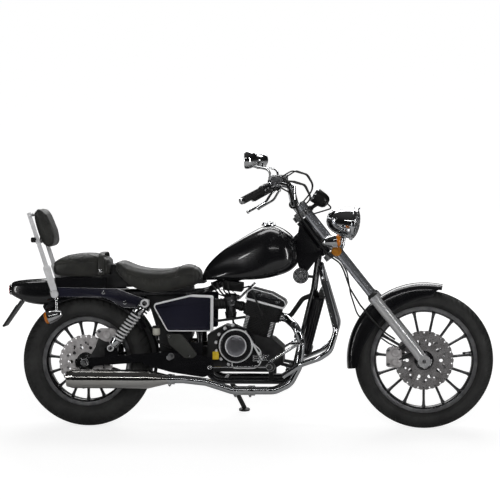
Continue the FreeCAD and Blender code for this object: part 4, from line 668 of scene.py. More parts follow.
def tyre_shape(wheel):
    section = tyre_section(wheel)
    steps = wheel["pitches"] * GROOVE_STEPS
    rings = []
    for k in range(steps):
        loop = []
        for side, at_radius, share in section:
            slant = max(share, 0) * 0.9 * math.tau / wheel["pitches"]
            angle = math.tau * k / steps + slant
            deep = at_radius - groove_depth(share, k % GROOVE_STEPS, side, wheel["half"])
            loop.append(wheel["centre"] + wheel_way(angle) * deep + SIDE * side)
        rings.append(loop)
    rings.append(rings[0])
    return skin(rings, closed=False, caps=False)


for end, wheel in WHEELS.items():
    piece(f"{end}_tyre_cover", f"{end}_wheel", (tyre_rubber, [tyre_shape(wheel)]), smooth=28,
          replaces=[f"{end}_tyre"])

# %% [markdown]
# The wheels are cast: fifteen thin spokes that widen where they meet hub and rim, a drop-centre rim
# with rolled lips, and a valve stem. The rim is turned from one profile, and the spokes are skins over
# rounded sections, so their edges catch the light as a casting's do.

# %% Cast wheels
cast_gloss = finish("cast_gloss", (0.010, 0.010, 0.011), 0.22, coat_weight=0.6, coat_roughness=0.08)
gloss(cast_gloss, 40, 0.16, 0.30)
relief(cast_gloss, 500, 0.00005, 0.2, 2)
SPOKES = 15


def rounded_bar(centre, u, v, half_u, half_v, corner=0.45):
    """Eight points round a bar's section."""
    a, b = half_u * corner, half_v * corner
    return [centre + u * x + v * y for x, y in (
        (half_u, b), (a, half_v), (-a, half_v), (-half_u, b), (-half_u, -b), (-a, -half_v), (a, -half_v),
        (half_u, -b))]


def rim_shape(wheel):
    half, bead = wheel["rim"], wheel["bead"]
    profile = [(half + 6, bead + 10), (half + 6, bead + 14), (half + 4, bead + 16), (half + 1.5, bead + 15),
               (half, bead + 11), (half - 1, bead + 1), (-half + 1, bead + 1), (-half, bead + 11),
               (-half - 1.5, bead + 15), (-half - 4, bead + 16), (-half - 6, bead + 14),
               (-half - 6, bead + 10), (-half - 3, bead + 4), (-half - 2, bead - 4), (-half + 6, bead - 9),
               (-14, bead - 12), (14, bead - 12), (half - 6, bead - 9), (half + 2, bead - 4),
               (half + 3, bead + 4), (half + 6, bead + 10)]
    return turned(wheel["centre"], SIDE, profile, 144, caps=False)


def rim_lips(wheel):
    """The machined lip on each side of the rim."""
    half, bead = wheel["rim"], wheel["bead"]
    profile = [(half + 1, bead + 15.6), (half + 4.2, bead + 16.6), (half + 6.6, bead + 14.4),
               (half + 6.7, bead + 8), (half + 4.4, bead + 3), (half + 2.8, bead - 3)]
    return [turned(wheel["centre"], way, profile, 144, caps=False) for way in (-SIDE, SIDE)]


def spoke_shapes(wheel):
    low, high = wheel["hub"] * 0.8, wheel["bead"] - 9
    shapes = []
    for k in range(SPOKES):
        angle = math.tau * k / SPOKES - math.pi / 2
        out = wheel_way(angle)
        wide = Vector((-out.z, 0, out.x))
        rings = []
        for t, half_wide, half_deep in ((0.0, 9, 14), (0.10, 7.4, 12), (0.30, 6.2, 10.5), (0.80, 5.8, 10.5),
                                        (0.93, 7.0, 12), (1.0, 11, 16)):
            place = wheel["centre"] + out * (low + (high - low) * t)
            rings.append(rounded_bar(place, wide, SIDE, half_wide, half_deep))
        shapes.append(skin(rings))
    return shapes


def hub_shape(wheel):
    half, hub = wheel["hub_half"], wheel["hub"]
    profile = [(-half, wheel["axle"] + 1), (-half, hub * 0.62), (-half + 8, hub * 0.66),
               (-half + 14, hub * 0.95), (-half + 22, hub), (-14, hub * 0.86), (14, hub * 0.86),
               (half - 22, hub), (half - 14, hub * 0.95), (half - 8, hub * 0.66), (half, hub * 0.62),
               (half, wheel["axle"] + 1)]
    return turned(wheel["centre"], SIDE, profile, 72, caps=False)


for end, wheel in WHEELS.items():
    along_valve = [wheel["centre"] + wheel_way(0.16) * (wheel["bead"] - reach) for reach in (10, 42, 36, 50)]
    valve = rod(*along_valve[:2], 3.4, 2.6, 12)
    cap = rod(*along_valve[2:], 4.2, steps=12)
    piece(f"{end}_cast_wheel", f"{end}_wheel", (cast_gloss, [rim_shape(wheel), hub_shape(wheel)]),
          (dull_alloy, rim_lips(wheel)), (spoke_grey, spoke_shapes(wheel)), (soft_rubber, [valve, cap]),
          smooth=40, replaces=[f"{end}_rim"])

# %% [markdown]
# The brake discs are plates with holes. The outline and the holes are drawn flat, filled between with
# triangles, and given thickness. Both bands have a scalloped edge and rings of drilled holes, and bolt
# on to a dark carrier.

# %% Discs and sprocket
from mathutils.geometry import tessellate_polygon


def round_loop(radius, count, centre=(0, 0), wave=0.0, waves=0):
    """A closed loop of flat points, which may have a wavy edge."""
    loop = []
    for k in range(count):
        angle = math.tau * k / count
        reach = radius + wave * math.cos(waves * angle)
        loop.append((centre[0] + reach * math.cos(angle), centre[1] + reach * math.sin(angle)))
    return loop


def around(radius, count, hole, sides=12, phase=0.0):
    """A ring of round holes."""
    return [round_loop(hole, sides, (radius * math.cos(phase + math.tau * k / count),
                                     radius * math.sin(phase + math.tau * k / count))) for k in range(count)]


def plate(loops, centre, across, up, depth):
    """A flat sheet with holes: the first loop is its outline."""
    centre, across, up, depth = Vector(centre), Vector(across), Vector(up), Vector(depth)
    flat = [[Vector((a, b, 0)) for a, b in loop] for loop in loops]
    triangles = tessellate_polygon(flat)
    near = [centre + across * p.x + up * p.y for loop in flat for p in loop]
    count = len(near)
    points = near + [p + depth for p in near]
    faces = [tuple(t) for t in triangles] + [tuple(count + k for k in reversed(t)) for t in triangles]
    start = 0
    for loop in flat:
        size = len(loop)
        for k in range(size):
            a, b = start + k, start + (k + 1) % size
            faces.append((a, b, count + b, count + a))
        start += size
    return points, faces


def upright(loops, side, thick):
    """A sheet that stands along the machine, from loops of (x, z), between side and side + thick."""
    return plate(loops, (0, side, 0), ACROSS, SKY, (0, thick, 0))


def places_round(centre, radius, count, phase=0.0):
    """Evenly spread places on a circle that stands along the machine."""
    return [centre + wheel_way(phase + math.tau * k / count) * radius for k in range(count)]


for end, wheel in WHEELS.items():
    centre = wheel["centre"] - SIDE * (wheel["hub_half"] + 5)
    radius = wheel["disc"]
    band = plate([round_loop(radius - 1.6, 240, wave=1.6, waves=30), round_loop(radius - 40, 96)]
                 + around(radius - 9, 30, 3.4, phase=0.1), centre, ACROSS, SKY, (0, 5, 0))
    carrier = plate([round_loop(radius - 33, 96), round_loop(wheel["axle"] + 8, 40)]
                    + around(radius - 58, 10, 8, 20) + around(radius - 44, 15, 4.5, 14, 0.2),
                    centre + SIDE * 0.6, ACROSS, SKY, (0, 3.8, 0))
    disc_finish = disc_steel if end == "front" else pale_casting
    boss = turned(centre + SIDE * 3, -SIDE,
                  [(0, 44), (4, 44), (5, 41), (5, 24), (6, 22), (6, wheel["axle"] + 4)], 64, caps=False)
    rivets = [rod(place + SIDE, place - SIDE * 1.6, 5.2, steps=16)
              for place in places_round(centre, radius - 37, 10, math.pi / 10)]
    heads = [shape for place in places_round(centre - SIDE * 2, 33, 5)
             for shape in socket_head(place, -SIDE, 5.5, 3)]
    piece(f"{end}_brake_disc", f"{end}_wheel", (disc_finish, [band, carrier]), (cast_gloss, [boss]),
          (alloy, rivets + heads), smooth=30, replaces=[f"{end}_disc"])

TEETH = 40
SPROCKET_RADIUS = 92
SPROCKET_SIDE = 75
TOOTH_DEPTH = 8
TOOTH_STEPS = 6
tooth_loop = []
for k in range(TEETH * TOOTH_STEPS):
    sunk = TOOTH_DEPTH * (0.5 - 0.5 * math.cos(math.tau * (k % TOOTH_STEPS) / TOOTH_STEPS)) ** 1.5
    spot = wheel_way(math.tau * k / (TEETH * TOOTH_STEPS)) * (SPROCKET_RADIUS - sunk)
    tooth_loop.append((spot.x, spot.z))
sprocket = plate([tooth_loop, round_loop(22, 40)] + around(62, 6, 13, 24), (0, SPROCKET_SIDE, REAR_RADIUS),
                 ACROSS, SKY, (0, 5, 0))
nuts = [shape for place in places_round(Vector((0, SPROCKET_SIDE + 5, REAR_RADIUS)), 48, 6, math.pi / 6)
        for shape in hex_head(place, SIDE, 12, 7)]
piece("rear_chain_sprocket", "rear_wheel", (disc_steel, [sprocket]), (alloy, nuts), smooth=30,
      replaces=["rear_sprocket"])

# %% [markdown]
# The chain is a row of links on the line that runs round both sprockets: side plates in pairs, wide and
# narrow by turns, with a roller at each joint. A loop walks along the line in steps of one pitch.

# %% Drive chain
DRIVE = Vector((540, 0, 345))
DRIVE_RADIUS = 34
CHAIN_PITCH = 15.875
CHAIN_MIDDLE = 77.5


def chain_line():
    """Points on the chain's line, close together, going once round both sprockets."""
    rear = WHEELS["rear"]["centre"]
    span = DRIVE - rear
    slope = math.atan2(span.z, span.x)
    spread = math.acos((SPROCKET_RADIUS - DRIVE_RADIUS) / span.length)
    line = []
    for k in range(41):
        angle = slope + spread - 2 * spread * k / 40
        line.append(DRIVE + wheel_way(angle) * DRIVE_RADIUS)
    for k in range(81):
        angle = slope - spread - (math.tau - 2 * spread) * k / 80
        line.append(rear + wheel_way(angle) * SPROCKET_RADIUS)
    return line + [line[0]]


def walk(line, count):
    """Evenly spaced points along a line."""
    lengths = [0.0]
    for a, b in zip(line, line[1:]):
        lengths.append(lengths[-1] + (b - a).length)
    places, k = [], 0
    for step in range(count):
        goal = lengths[-1] * step / count
        while lengths[k + 1] < goal:
            k += 1
        share = (goal - lengths[k]) / (lengths[k + 1] - lengths[k])
        places.append(line[k].lerp(line[k + 1], share))
    return places, lengths[-1]


line = chain_line()
chain_length = walk(line, 2)[1]
link_count = 2 * round(chain_length / CHAIN_PITCH / 2)
joints_on_chain = walk(line, link_count)[0]


LINK_THICK = 1.8


def link_plate(start, end, side, radius=5.8):
    """A side plate: two round ends with a waist between."""
    way = (end - start).normalized()
    up = Vector((-way.z, 0, way.x))
    outline = []
    for centre, sign in ((start, 1), (end, -1)):
        for k in range(7):
            angle = sign * math.pi / 2 + math.pi * k / 6
            outline.append(centre + way * math.cos(angle) * radius + up * math.sin(angle) * radius)
        outline.append((start + end) / 2 - up * sign * radius * 0.66)
    return slab([p + SIDE * side for p in outline], SIDE * LINK_THICK)


plates, rollers = [], []
for k in range(link_count):
    start, end = joints_on_chain[k], joints_on_chain[(k + 1) % link_count]
    gap = 4.2 if k % 2 else 6.0
    plates += [link_plate(start, end, side) for side in (CHAIN_MIDDLE + gap - LINK_THICK, CHAIN_MIDDLE - gap)]
    rollers.append(rod(start + SIDE * (CHAIN_MIDDLE - 7), start + SIDE * (CHAIN_MIDDLE + 7), 2.6, steps=10))
    rollers.append(rod(start + SIDE * (CHAIN_MIDDLE - 4), start + SIDE * (CHAIN_MIDDLE + 4), 4.6, steps=12))
piece("roller_chain", "chassis", (chain_steel, plates + rollers), smooth=40, replaces=["drive_chain"])
print(link_count, "links of", round(chain_length / link_count, 2), "mm")

# %% [markdown]
# ## Bodywork
# The tank is one pressed teardrop: round on top, fullest near the front, with a hollow along the lower
# flank towards the seat that draws the long bright streak. A cage of sections, subdivided, gives such
# a surface better than any cut solid, because its light runs without a break.

# %% Tank
ROUND = [(0, 1.0), (0.26, 0.988), (0.52, 0.945), (0.76, 0.85), (0.93, 0.69), (1.0, 0.50), (0.985, 0.33),
         (0.92, 0.18), (0.80, 0.07), (0.62, 0.01), (0.36, 0.0), (0, 0.0)]
HOLLOW = [(0, 1.0), (0.24, 0.975), (0.46, 0.90), (0.62, 0.77), (0.71, 0.62), (0.77, 0.48), (0.86, 0.35),
          (0.99, 0.22), (0.99, 0.11), (0.86, 0.03), (0.5, 0.0), (0, 0.0)]


def whole_ring(x, low, top, half, shape):
    """A closed ring from a half-section given in shares of half width and height."""
    right = [Vector((x, -half * a, low + (top - low) * b)) for a, b in shape]
    left = [Vector((x, half * a, low + (top - low) * b)) for a, b in reversed(shape[1:-1])]
    return right + left


TANK = [  # x, bottom, top, half width, share of the hollow
    (529, 676, 700, 20, 0.6), (545, 675, 734, 34, 0.8), (575, 676, 771, 52, 1.0),
    (610, 677, 803, 70, 1.0), (650, 677, 833, 88, 0.95), (702, 677, 865, 104, 0.8),
    (760, 678, 900, 119, 0.5), (815, 683, 928, 129, 0.2), (850, 690, 933, 132, 0.05),
    (895, 702, 918, 127, 0.0), (930, 716, 895, 112, 0.0), (955, 735, 868, 90, 0.0),
    (969, 757, 839, 64, 0.0), (976, 780, 812, 34, 0.0)]
tank_rings = []
for x, low, top, half, hollow in TANK:
    shape = [(a + (c - a) * hollow, b + (d - b) * hollow) for (a, b), (c, d) in zip(ROUND, HOLLOW)]
    tank_rings.append(whole_ring(x, low, top, half, shape))
piece("fuel_tank_shell", "chassis", (black_gloss, [skin(tank_rings)]), divide=3, smooth=60,
      replaces=["fuel_tank"])

# %% [markdown]
# The filler cap sits on the ridge of the tank: a polished disc with a knurled edge on a thin ring.

# %% Filler cap
cap_place = Vector((835, 0, 926))
cap = turned(cap_place, SKY, [(0, 34), (4, 34), (6, 32), (6, 28)], 64)
knurl = plate([round_loop(28, 160, wave=0.7, waves=40)], cap_place + SKY * 5, ACROSS, SIDE, SKY * 9)
crown = turned(cap_place + SKY * 14, SKY, [(0, 28), (1.5, 27), (3, 22), (3.4, 0)], 64)
lock = turned(cap_place + SKY * 17, SKY, [(0, 9), (1.2, 9), (1.6, 8), (1.6, 0)], 32)
piece("fuel_cap", "chassis", (chrome, [cap, knurl, crown]), (alloy, [lock]), smooth=40,
      replaces=["filler_cap"])

# %% [markdown]
# The front fender is a thin pressed channel that hugs the tyre. Its skirt is deep behind the fork and
# runs out to a thin lip at both ends, and the front end kicks up a little. It is made as a sheet of
# rings round the axle, with its own inner skin.

# %% Front fender
def fender_section(outer, skirt, half, thick):
    """Half-section of the channel, outside and inside: (side, radius)."""
    shoulder = outer - 24
    outside = [(0, outer), (half * 0.34, outer - 1.5), (half * 0.66, outer - 6), (half * 0.88, outer - 14),
               (half, shoulder - 2), (half, (shoulder + skirt) / 2), (half, skirt + 2), (half - 0.6, skirt)]
    inside = [(side - thick if side > half * 0.8 else side, r if r < shoulder else r - thick)
              for side, r in outside]
    return outside, inside


def fender_rings(centre, start, finish, steps, sizes):
    rings = []
    for k in range(steps + 1):
        share = k / steps
        angle = math.radians(start + (finish - start) * share)
        outside, inside = fender_section(*sizes(share))
        loop = [(-s, r) for s, r in reversed(outside)] + outside[1:]
        loop += list(reversed(inside)) + [(-s, r) for s, r in inside[1:]]
        rings.append([centre + Vector((r * math.cos(angle), s, r * math.sin(angle))) for s, r in loop])
    return rings


def front_fender_sizes(share):
    """Outer radius, skirt radius, half width and thickness along the fender, front to back."""
    outer = 352 + 2 * max(0, 1 - share / 0.12) ** 2
    bow = math.sin(math.pi * min(max((share + 0.06) / 1.1, 0), 1))
    skirt = 312 - 52 * bow ** 0.9
    if share < 0.05:
        skirt = 312 + 28 * (1 - share / 0.05)
    half = 62 - 6 * max(0, 1 - share / 0.1) ** 2
    return outer, skirt, half, 2.2


front_centre = WHEELS["front"]["centre"]
fender = skin(fender_rings(front_centre, 76, 187, 72, front_fender_sizes))
piece("front_fender_shell", "steering", (black_gloss, [fender]), smooth=50, replaces=["front_fender"])

# %% [markdown]
# ## Seats
# A seat is a foam block under stretched vinyl: full in the middle of each panel and drawn in at every
# seam. Cloth simulation gives that swelling. A closed cage is remeshed finely, blown up a little with
# its underside held, and kept from moving too far. The seams come after it, as grooves in the surface.

# %% Makers of padded shapes
UPRIGHT = BIKE.inverted()
CLOTH_STEPS = 20
PAD_HALF = [(0, 0.0), (0.45, 0.0), (0.80, 0.02), (0.93, 0.10), (0.985, 0.28), (1.0, 0.52), (0.985, 0.74),
            (0.92, 0.90), (0.76, 0.975), (0.42, 0.99), (0, 0.975)]


def between(table, x, column=1):
    """A value read off the rows of a table, whose first column is x."""
    return float(np.interp(x, [row[0] for row in table], [row[column] for row in table]))


def pad_cage(stations):
    """A closed cage over stations of (x, bottom, top, half width)."""
    return skin([whole_ring(x, low, top, half, PAD_HALF) for x, low, top, half in stations])


def puffed(name, shape, furthest, held, voxel=5.0):
    """A cage blown up as a cushion: held says which points of the underside stay where they are."""
    points, faces = shape
    mesh = bpy.data.meshes.new(name)
    mesh.from_pydata([BIKE @ Vector(p) for p in points], [], faces)
    made = bpy.data.objects.new(name, mesh)
    scene.collection.objects.link(made)
    rounding = made.modifiers.new("round_cage", "SUBSURF")
    rounding.levels = rounding.render_levels = 2
    remesh = made.modifiers.new("remesh", "REMESH")
    remesh.mode = "VOXEL"
    remesh.voxel_size = voxel * MILLI
    settle(made)
    start = [vertex.co.copy() for vertex in made.data.vertices]
    group = made.vertex_groups.new(name="held")
    group.add([k for k, place in enumerate(start) if held(UPRIGHT @ place)], 1.0, "REPLACE")
    cloth = made.modifiers.new("cloth", "CLOTH")
    cloth.settings.use_pressure = True
    cloth.settings.uniform_pressure_force = 4
    cloth.settings.vertex_group_mass = "held"
    cloth.settings.effector_weights.gravity = 0
    for step in range(1, CLOTH_STEPS + 1):
        scene.frame_set(step)
    settle(made)
    scene.frame_set(1)
    for vertex, place in zip(made.data.vertices, start):
        move = vertex.co - place
        if move.length > furthest * MILLI:
            vertex.co = place + move * (furthest * MILLI / move.length)
    swell = max((vertex.co - place).length for vertex, place in zip(made.data.vertices, start))
    print(name, "swelled by up to", round(swell / MILLI, 1), "mm")
    finer = made.modifiers.new("divide", "SUBSURF")
    finer.levels = finer.render_levels = 1
    settle(made)
    return made


def sewn(made, material, depth, body, replaces):
    """Sink seams and gathers into a puffed mesh along its normals, and finish it as vinyl."""
    normals = [vertex.normal.copy() for vertex in made.data.vertices]
    for vertex, normal in zip(made.data.vertices, normals):
        x, y, z = UPRIGHT @ vertex.co
        vertex.co -= normal * depth(x, y, z) * MILLI
    made.data.materials.append(material)
    made.data.polygons.foreach_set("use_smooth", [True] * len(made.data.polygons))
    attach(made, body)
    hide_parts(*replaces)
    print(made.name, len(made.data.polygons), "faces")


def notch(distance, width):
    """The share of a seam's depth at a distance from it."""
    return math.exp(-(distance / width) ** 2)


# %% [markdown]
# The rider's seat dips behind a raised front lobe. One seam runs along each side where the top panel
# meets the skirt, another crosses in front of the lobe, and the skirt is gathered in small pleats
# below its seam, as vinyl is when it is pulled round a tight curve.

# %% Rider's seat
RIDER = [(134, 728, 754, 84), (150, 704, 765, 108), (184, 668, 752, 124), (215, 645, 737, 128),
         (266, 624, 724, 128), (326, 613, 719, 123), (392, 622, 722, 110), (440, 634, 739, 97),
         (478, 644, 747, 88), (512, 659, 736, 79), (530, 678, 708, 66)]
RIDER_SEAM = [(128, 742), (150, 734), (184, 716), (230, 698), (290, 688), (350, 688), (400, 694), (440, 702),
              (480, 700), (536, 684)]


def rider_seams(x, y, z):
    edge = between(RIDER, x, 3)
    aside = abs(y) / edge
    seam = between(RIDER_SEAM, x)
    sunk = 3.0 * notch(z - seam, 3.4) if aside > 0.75 and x < 505 else 0.0
    if z > seam - 4:
        sunk += 3.6 * notch(x - 418 - 0.16 * (z - 700), 4.0)
    sunk += 2.4 * notch(x - 500, 3.4)
    below = seam - z
    if 2 < below < 46 and aside > 0.7 and 150 < x < 405:
        pleat = math.sin(x / 2.6 + 1.3 * math.sin(x / 9.0)) * 0.5 + 0.5
        sunk += 2.2 * pleat ** 2 * (1 - below / 46) * min(1.0, (405 - x) / 60)
    return sunk


rider = puffed("rider_seat_pad", pad_cage(RIDER), 7, lambda p: p.z < between(RIDER, p.x) + 12)
sewn(rider, vinyl, rider_seams, "chassis", ["rider_seat"])

# %% [markdown]
# The pillion seat is a smaller, boxier cushion. A strap crosses over it, buttoned down on each side, so
# the cushion is pressed in under the strap, and its two halves bulge on both sides of it.

# %% Pillion seat
PILLION = [(-154, 712, 750, 84), (-140, 696, 772, 101), (-75, 691, 791, 111), (23, 691, 797, 109),
           (90, 693, 791, 102), (114, 706, 768, 88)]
PILLION_SEAM = [(-160, 742), (-120, 756), (20, 764), (122, 752)]
STRAP_X = 74


def pillion_seams(x, y, z):
    edge = between(PILLION, x, 3)
    aside = abs(y) / edge
    sunk = 2.8 * notch(z - between(PILLION_SEAM, x), 3.2) if aside > 0.75 or x < -135 or x > 105 else 0.0
    sunk += 4.5 * notch(x - STRAP_X, 17)
    below = between(PILLION_SEAM, x) - z
    if 2 < below < 30 and aside > 0.7:
        sunk += 1.2 * (math.sin(x / 3.1 + math.sin(x / 8.0)) * 0.5 + 0.5) * (1 - below / 30)
    return sunk


pillion = puffed("pillion_seat_pad", pad_cage(PILLION), 6, lambda p: p.z < 712)
sewn(pillion, vinyl, pillion_seams, "chassis", ["pillion_seat"])
strap_line = []
STRAP_STEPS = 40
for k in range(STRAP_STEPS + 1):
    angle = math.pi * k / STRAP_STEPS
    aside = -116 * math.copysign(abs(math.cos(angle)) ** 0.42, math.cos(angle))
    strap_line.append(Vector((STRAP_X, aside, 704 + 97 * math.sin(angle) ** 0.42)))
strap_rings = []
for k, place in enumerate(strap_line):
    before, after = strap_line[max(k - 1, 0)], strap_line[min(k + 1, STRAP_STEPS)]
    out = (after - before).cross(ACROSS).normalized()
    out = out if out.dot(place - Vector((STRAP_X, 0, 730))) > 0 else -out
    strap_rings.append([place + Vector((a, 0, 0)) + out * b for a, b in (
        (-12, -1.5), (-12, 1.0), (-10, 2.4), (10, 2.4), (12, 1.0), (12, -1.5))])
buttons = [turned((STRAP_X, side * 117, 722), SIDE * side, [(0, 8), (2, 8), (3.4, 5), (3.6, 0)], 28)
           for side in (-1, 1)]
piece("pillion_strap", "chassis", (vinyl, [skin(strap_rings)]), (chrome, buttons), smooth=45)

# %% [markdown]
# The backrest pad is a narrow upright cushion, rounded at its top, that leans back on its bar.

# %% Backrest pad
BACK = [(-241, 996), (-214, 1009), (-194, 996), (-137, 860), (-147, 836), (-168, 824), (-203, 838),
        (-239, 954)]
BACK_X, BACK_Z = -190, 915
back_rings = []
for y, shrink in ((-97, 0.55), (-91, 0.86), (-60, 1.0), (0, 1.03), (60, 1.0), (91, 0.86), (97, 0.55)):
    deep, tall = 1 - (1 - shrink) * 0.35, 1 - (1 - shrink) * 0.2
    back_rings.append([Vector((BACK_X + (x - BACK_X) * deep, y, BACK_Z + (z - BACK_Z) * tall))
                       for x, z in BACK])


def before_back(x, z):
    """How far a point lies in front of the pad's leaning middle plane."""
    return (x - BACK_X) * 0.93 + (z - BACK_Z) * 0.37


def back_seams(x, y, z):
    return 2.8 * notch(before_back(x, z) + 8, 3.2) + 1.6 * notch(abs(y) - 99, 4)


back_pad = puffed("backrest_pad_cushion", skin(back_rings), 7, lambda p: before_back(p.x, p.z) < -24)
sewn(back_pad, vinyl, back_seams, "chassis", ["backrest_pad"])

# %% [markdown]
# ## Side covers and struts
# The side covers are dark panels framed by a bright strip, wide above and in front, thin elsewhere. The
# strip is the outline with an inset cut out of it, where each edge may have its own width.

# %% Makers for flat outlines
def inset(loop, widths):
    """A flat outline moved inwards by its own width at each edge (counted from each corner onwards)."""
    count = len(loop)
    lines = []
    for k in range(count):
        a, b = Vector(loop[k]), Vector(loop[(k + 1) % count])
        way = (b - a).normalized()
        inward = Vector((-way.y, way.x))
        lines.append((a + inward * widths[k], way))
    corners = []
    for k in range(count):
        (p, u), (q, v) = lines[k - 1], lines[k]
        share = ((q - p).x * v.y - (q - p).y * v.x) / (u.x * v.y - u.y * v.x)
        corners.append(tuple(p + u * share))
    return corners


def rounded(loop, radius, steps=5):
    """A flat outline whose corners are rounded."""
    line = []
    count = len(loop)
    for k in range(count):
        before, corner, after = (Vector(loop[(k + j) % count]) for j in (-1, 0, 1))
        back, ahead = before - corner, after - corner
        reach = min(radius, back.length * 0.45, ahead.length * 0.45)
        a, b = corner + back.normalized() * reach, corner + ahead.normalized() * reach
        for j in range(steps + 1):
            t = j / steps
            line.append(tuple(a * (1 - t) ** 2 + corner * 2 * t * (1 - t) + b * t ** 2))
    return line


def oblong(half_long, half_wide, corner):
    return rounded([(-half_long, -half_wide), (half_long, -half_wide), (half_long, half_wide),
                    (-half_long, half_wide)], corner)


def standing(loop, y):
    """A flat outline of (x, z) set up in the machine's middle plane at one y."""
    return [Vector((x, y, z)) for x, z in loop]


# %% [markdown]
# The panel itself is crowned a little, so that the light drifts over it instead of lying flat.

# %% Side covers
bright_trim = finish("bright_trim", (0.88, 0.88, 0.89), 0.42, 0.35)
tint(bright_trim, 20, (0.80, 0.80, 0.81), (0.92, 0.92, 0.93))
gloss(bright_trim, 120, 0.34, 0.48)
dress("backrest_bar", bright_trim)
COVER = [(381, 449), (590, 449), (592, 613), (494, 617), (324, 576), (319, 560)]
STRIP = [5, 13, 11, 8, 6, 5]
outer, inner = rounded(COVER, 11), rounded(inset(COVER, STRIP), 7)
deeper = rounded(inset(COVER, [width + 16 for width in STRIP]), 14)
panel = skin([standing(outer, -129), standing(rounded(COVER, 11), -146), standing(inner, -146.2),
              standing(deeper, -148.6)])
strip = upright([outer, inner], -150, 5)
piece("side_cover_panels", "chassis", (blue_black, both(panel)), (bright_trim, both(strip)), round_edges=0.8,
      replaces=["side_covers"])
pegs = [rod((x, -130, z), (x, -100, z), 6) for x, z in ((505, 500), (523, 456))]
piece("side_cover_pegs", "chassis", (soft_rubber, both(*pegs)), smooth=40)

# %% [markdown]
# The struts tie the rear fender to the frame. Each is a flat pressing with a bright line round its edge,
# held by two screws and a large round bolt, on which the backrest bar turns.

# %% Fender struts
STRUT = [(-139, 601), (78, 601), (119, 586), (177, 553), (229, 553), (292, 560), (296, 590), (254, 600),
         (148, 640), (-139, 645)]
tail_round = [(-139 - 22 * math.sin(math.pi * k / 12), 623 + 22 * math.cos(math.pi * k / 12))
              for k in range(1, 12)]
strut_loop = rounded(STRUT, 5)
strut_loop = [point for point in strut_loop if point[0] > -138.9] + [(-139, 645)] + tail_round + [(-139, 601)]
strut_middle = Vector((60, 606))
strut_inset = [tuple(Vector(p) + (strut_middle - Vector(p)).normalized() * 2.2) for p in strut_loop]
strut_face = slab(standing(strut_loop, -102), (0, -4.4, 0))
edge_line = upright([strut_loop, strut_inset], -107, 1.5)
bolts = []
for x, z, across in ((-139, 623, 20), (84, 622, 11), (183, 576, 11)):
    bolts += [turned((x, -106.4, z), -SIDE, [(0, across * 0.8), (1.5, across * 0.8), (2, across * 0.7)], 32)]
    bolts += socket_head((x, -108, z), -SIDE, across * 0.5, 5)
piece("strut_plates", "chassis", (blue_black, both(strut_face)), (bright_trim, both(edge_line)),
      (chrome, both(*bolts)), round_edges=0.5, replaces=["fender_struts"])

# %% [markdown]
# ## Rear fender and tail
# The rear fender is a pressed channel over the tyre that runs into a blunt tail with a lamp in its end.

# %% Rear fender
TAIL_HALF = [(0, 1.0), (0.45, 0.985), (0.76, 0.94), (0.94, 0.82), (1.0, 0.62), (1.0, 0.40), (0.96, 0.20),
             (0.84, 0.06), (0.5, 0.0), (0, 0.0)]
TAIL = [(-352, 606, 662, 58), (-346, 601, 665, 65), (-330, 592, 670, 72), (-280, 567, 676, 83),
        (-210, 557, 680, 86), (-160, 563, 683, 86), (-118, 590, 682, 84), (-108, 610, 672, 76)]
rear_channel = skin(fender_rings(WHEELS["rear"]["centre"], 30, 129, 60, lambda share: (330, 295, 78, 2.4)))
tail = skin([whole_ring(x, low, top, half, TAIL_HALF) for x, low, top, half in TAIL])
lugs = [rod((x, 54, 618), (x, 84, 618), 9) for x in (-60, 90)]
piece("rear_fender_shell", "chassis", (black_gloss, [rear_channel] + both(*lugs)), smooth=50,
      replaces=["rear_fender"])
piece("tail_shell", "chassis", (black_gloss, [tail]), divide=2, smooth=60)

# %% [markdown]
# The lamp's red lens is moulded with ribs and sits in a thin chrome frame.

# %% Tail lamp
def rounded_box(half_y, low, top, radius, x, steps=6):
    loop = rounded([(-half_y, low), (half_y, low), (half_y, top), (-half_y, top)], radius, steps)
    return [Vector((x, y, z)) for y, z in loop]


lens = skin([rounded_box(46, 608, 652, 12, -350), rounded_box(46, 608, 652, 12, -357),
             rounded_box(44, 610, 650, 11, -361), rounded_box(38, 616, 644, 9, -363.4)])
frame_loops = [rounded([(-48, 606), (48, 606), (48, 654), (-48, 654)], 13, 6),
               rounded([(-45, 609), (45, 609), (45, 651), (-45, 651)], 11, 6)]
lamp_frame = plate(frame_loops, (-358, 0, 0), SIDE, SKY, (8, 0, 0))
ribs = [slab([(-364, -40, z), (-364, 40, z), (-364, 40, z + 1.2), (-364, -40, z + 1.2)], (1.6, 0, 0))
        for z in range(614, 648, 5)]
piece("tail_lamp", "chassis", (red_lens, [lens] + ribs), (chrome, [lamp_frame]), round_edges=0.4,
      replaces=["tail_light"])

# %% [markdown]
# The indicators are bullets: a chrome shell that swells towards an amber lens, on a short stalk.

# %% Bullet lamps
def bullet(centre, way):
    """The chrome shell and the amber lens of one indicator, whose lens faces along the way."""
    shell = turned(centre, way, [(-78, 2), (-76.5, 8), (-71, 14), (-60, 20), (-42, 26), (-22, 30), (-12, 31),
                                 (-8, 31), (-7, 29)], 48)
    rim = ring(centre - way * 8, way, 29.6, 1.6, 48, 8)
    glass = turned(centre, way, [(-8, 28.5), (0, 28.5), (5, 26.5), (8.5, 20), (9.6, 10), (9.8, 0)], 48)
    steps = [ring(centre + way * (7.6 - radius * 0.12), way, radius, 0.9, 40, 6) for radius in (8, 15, 22)]
    return [shell, rim], [glass] + steps


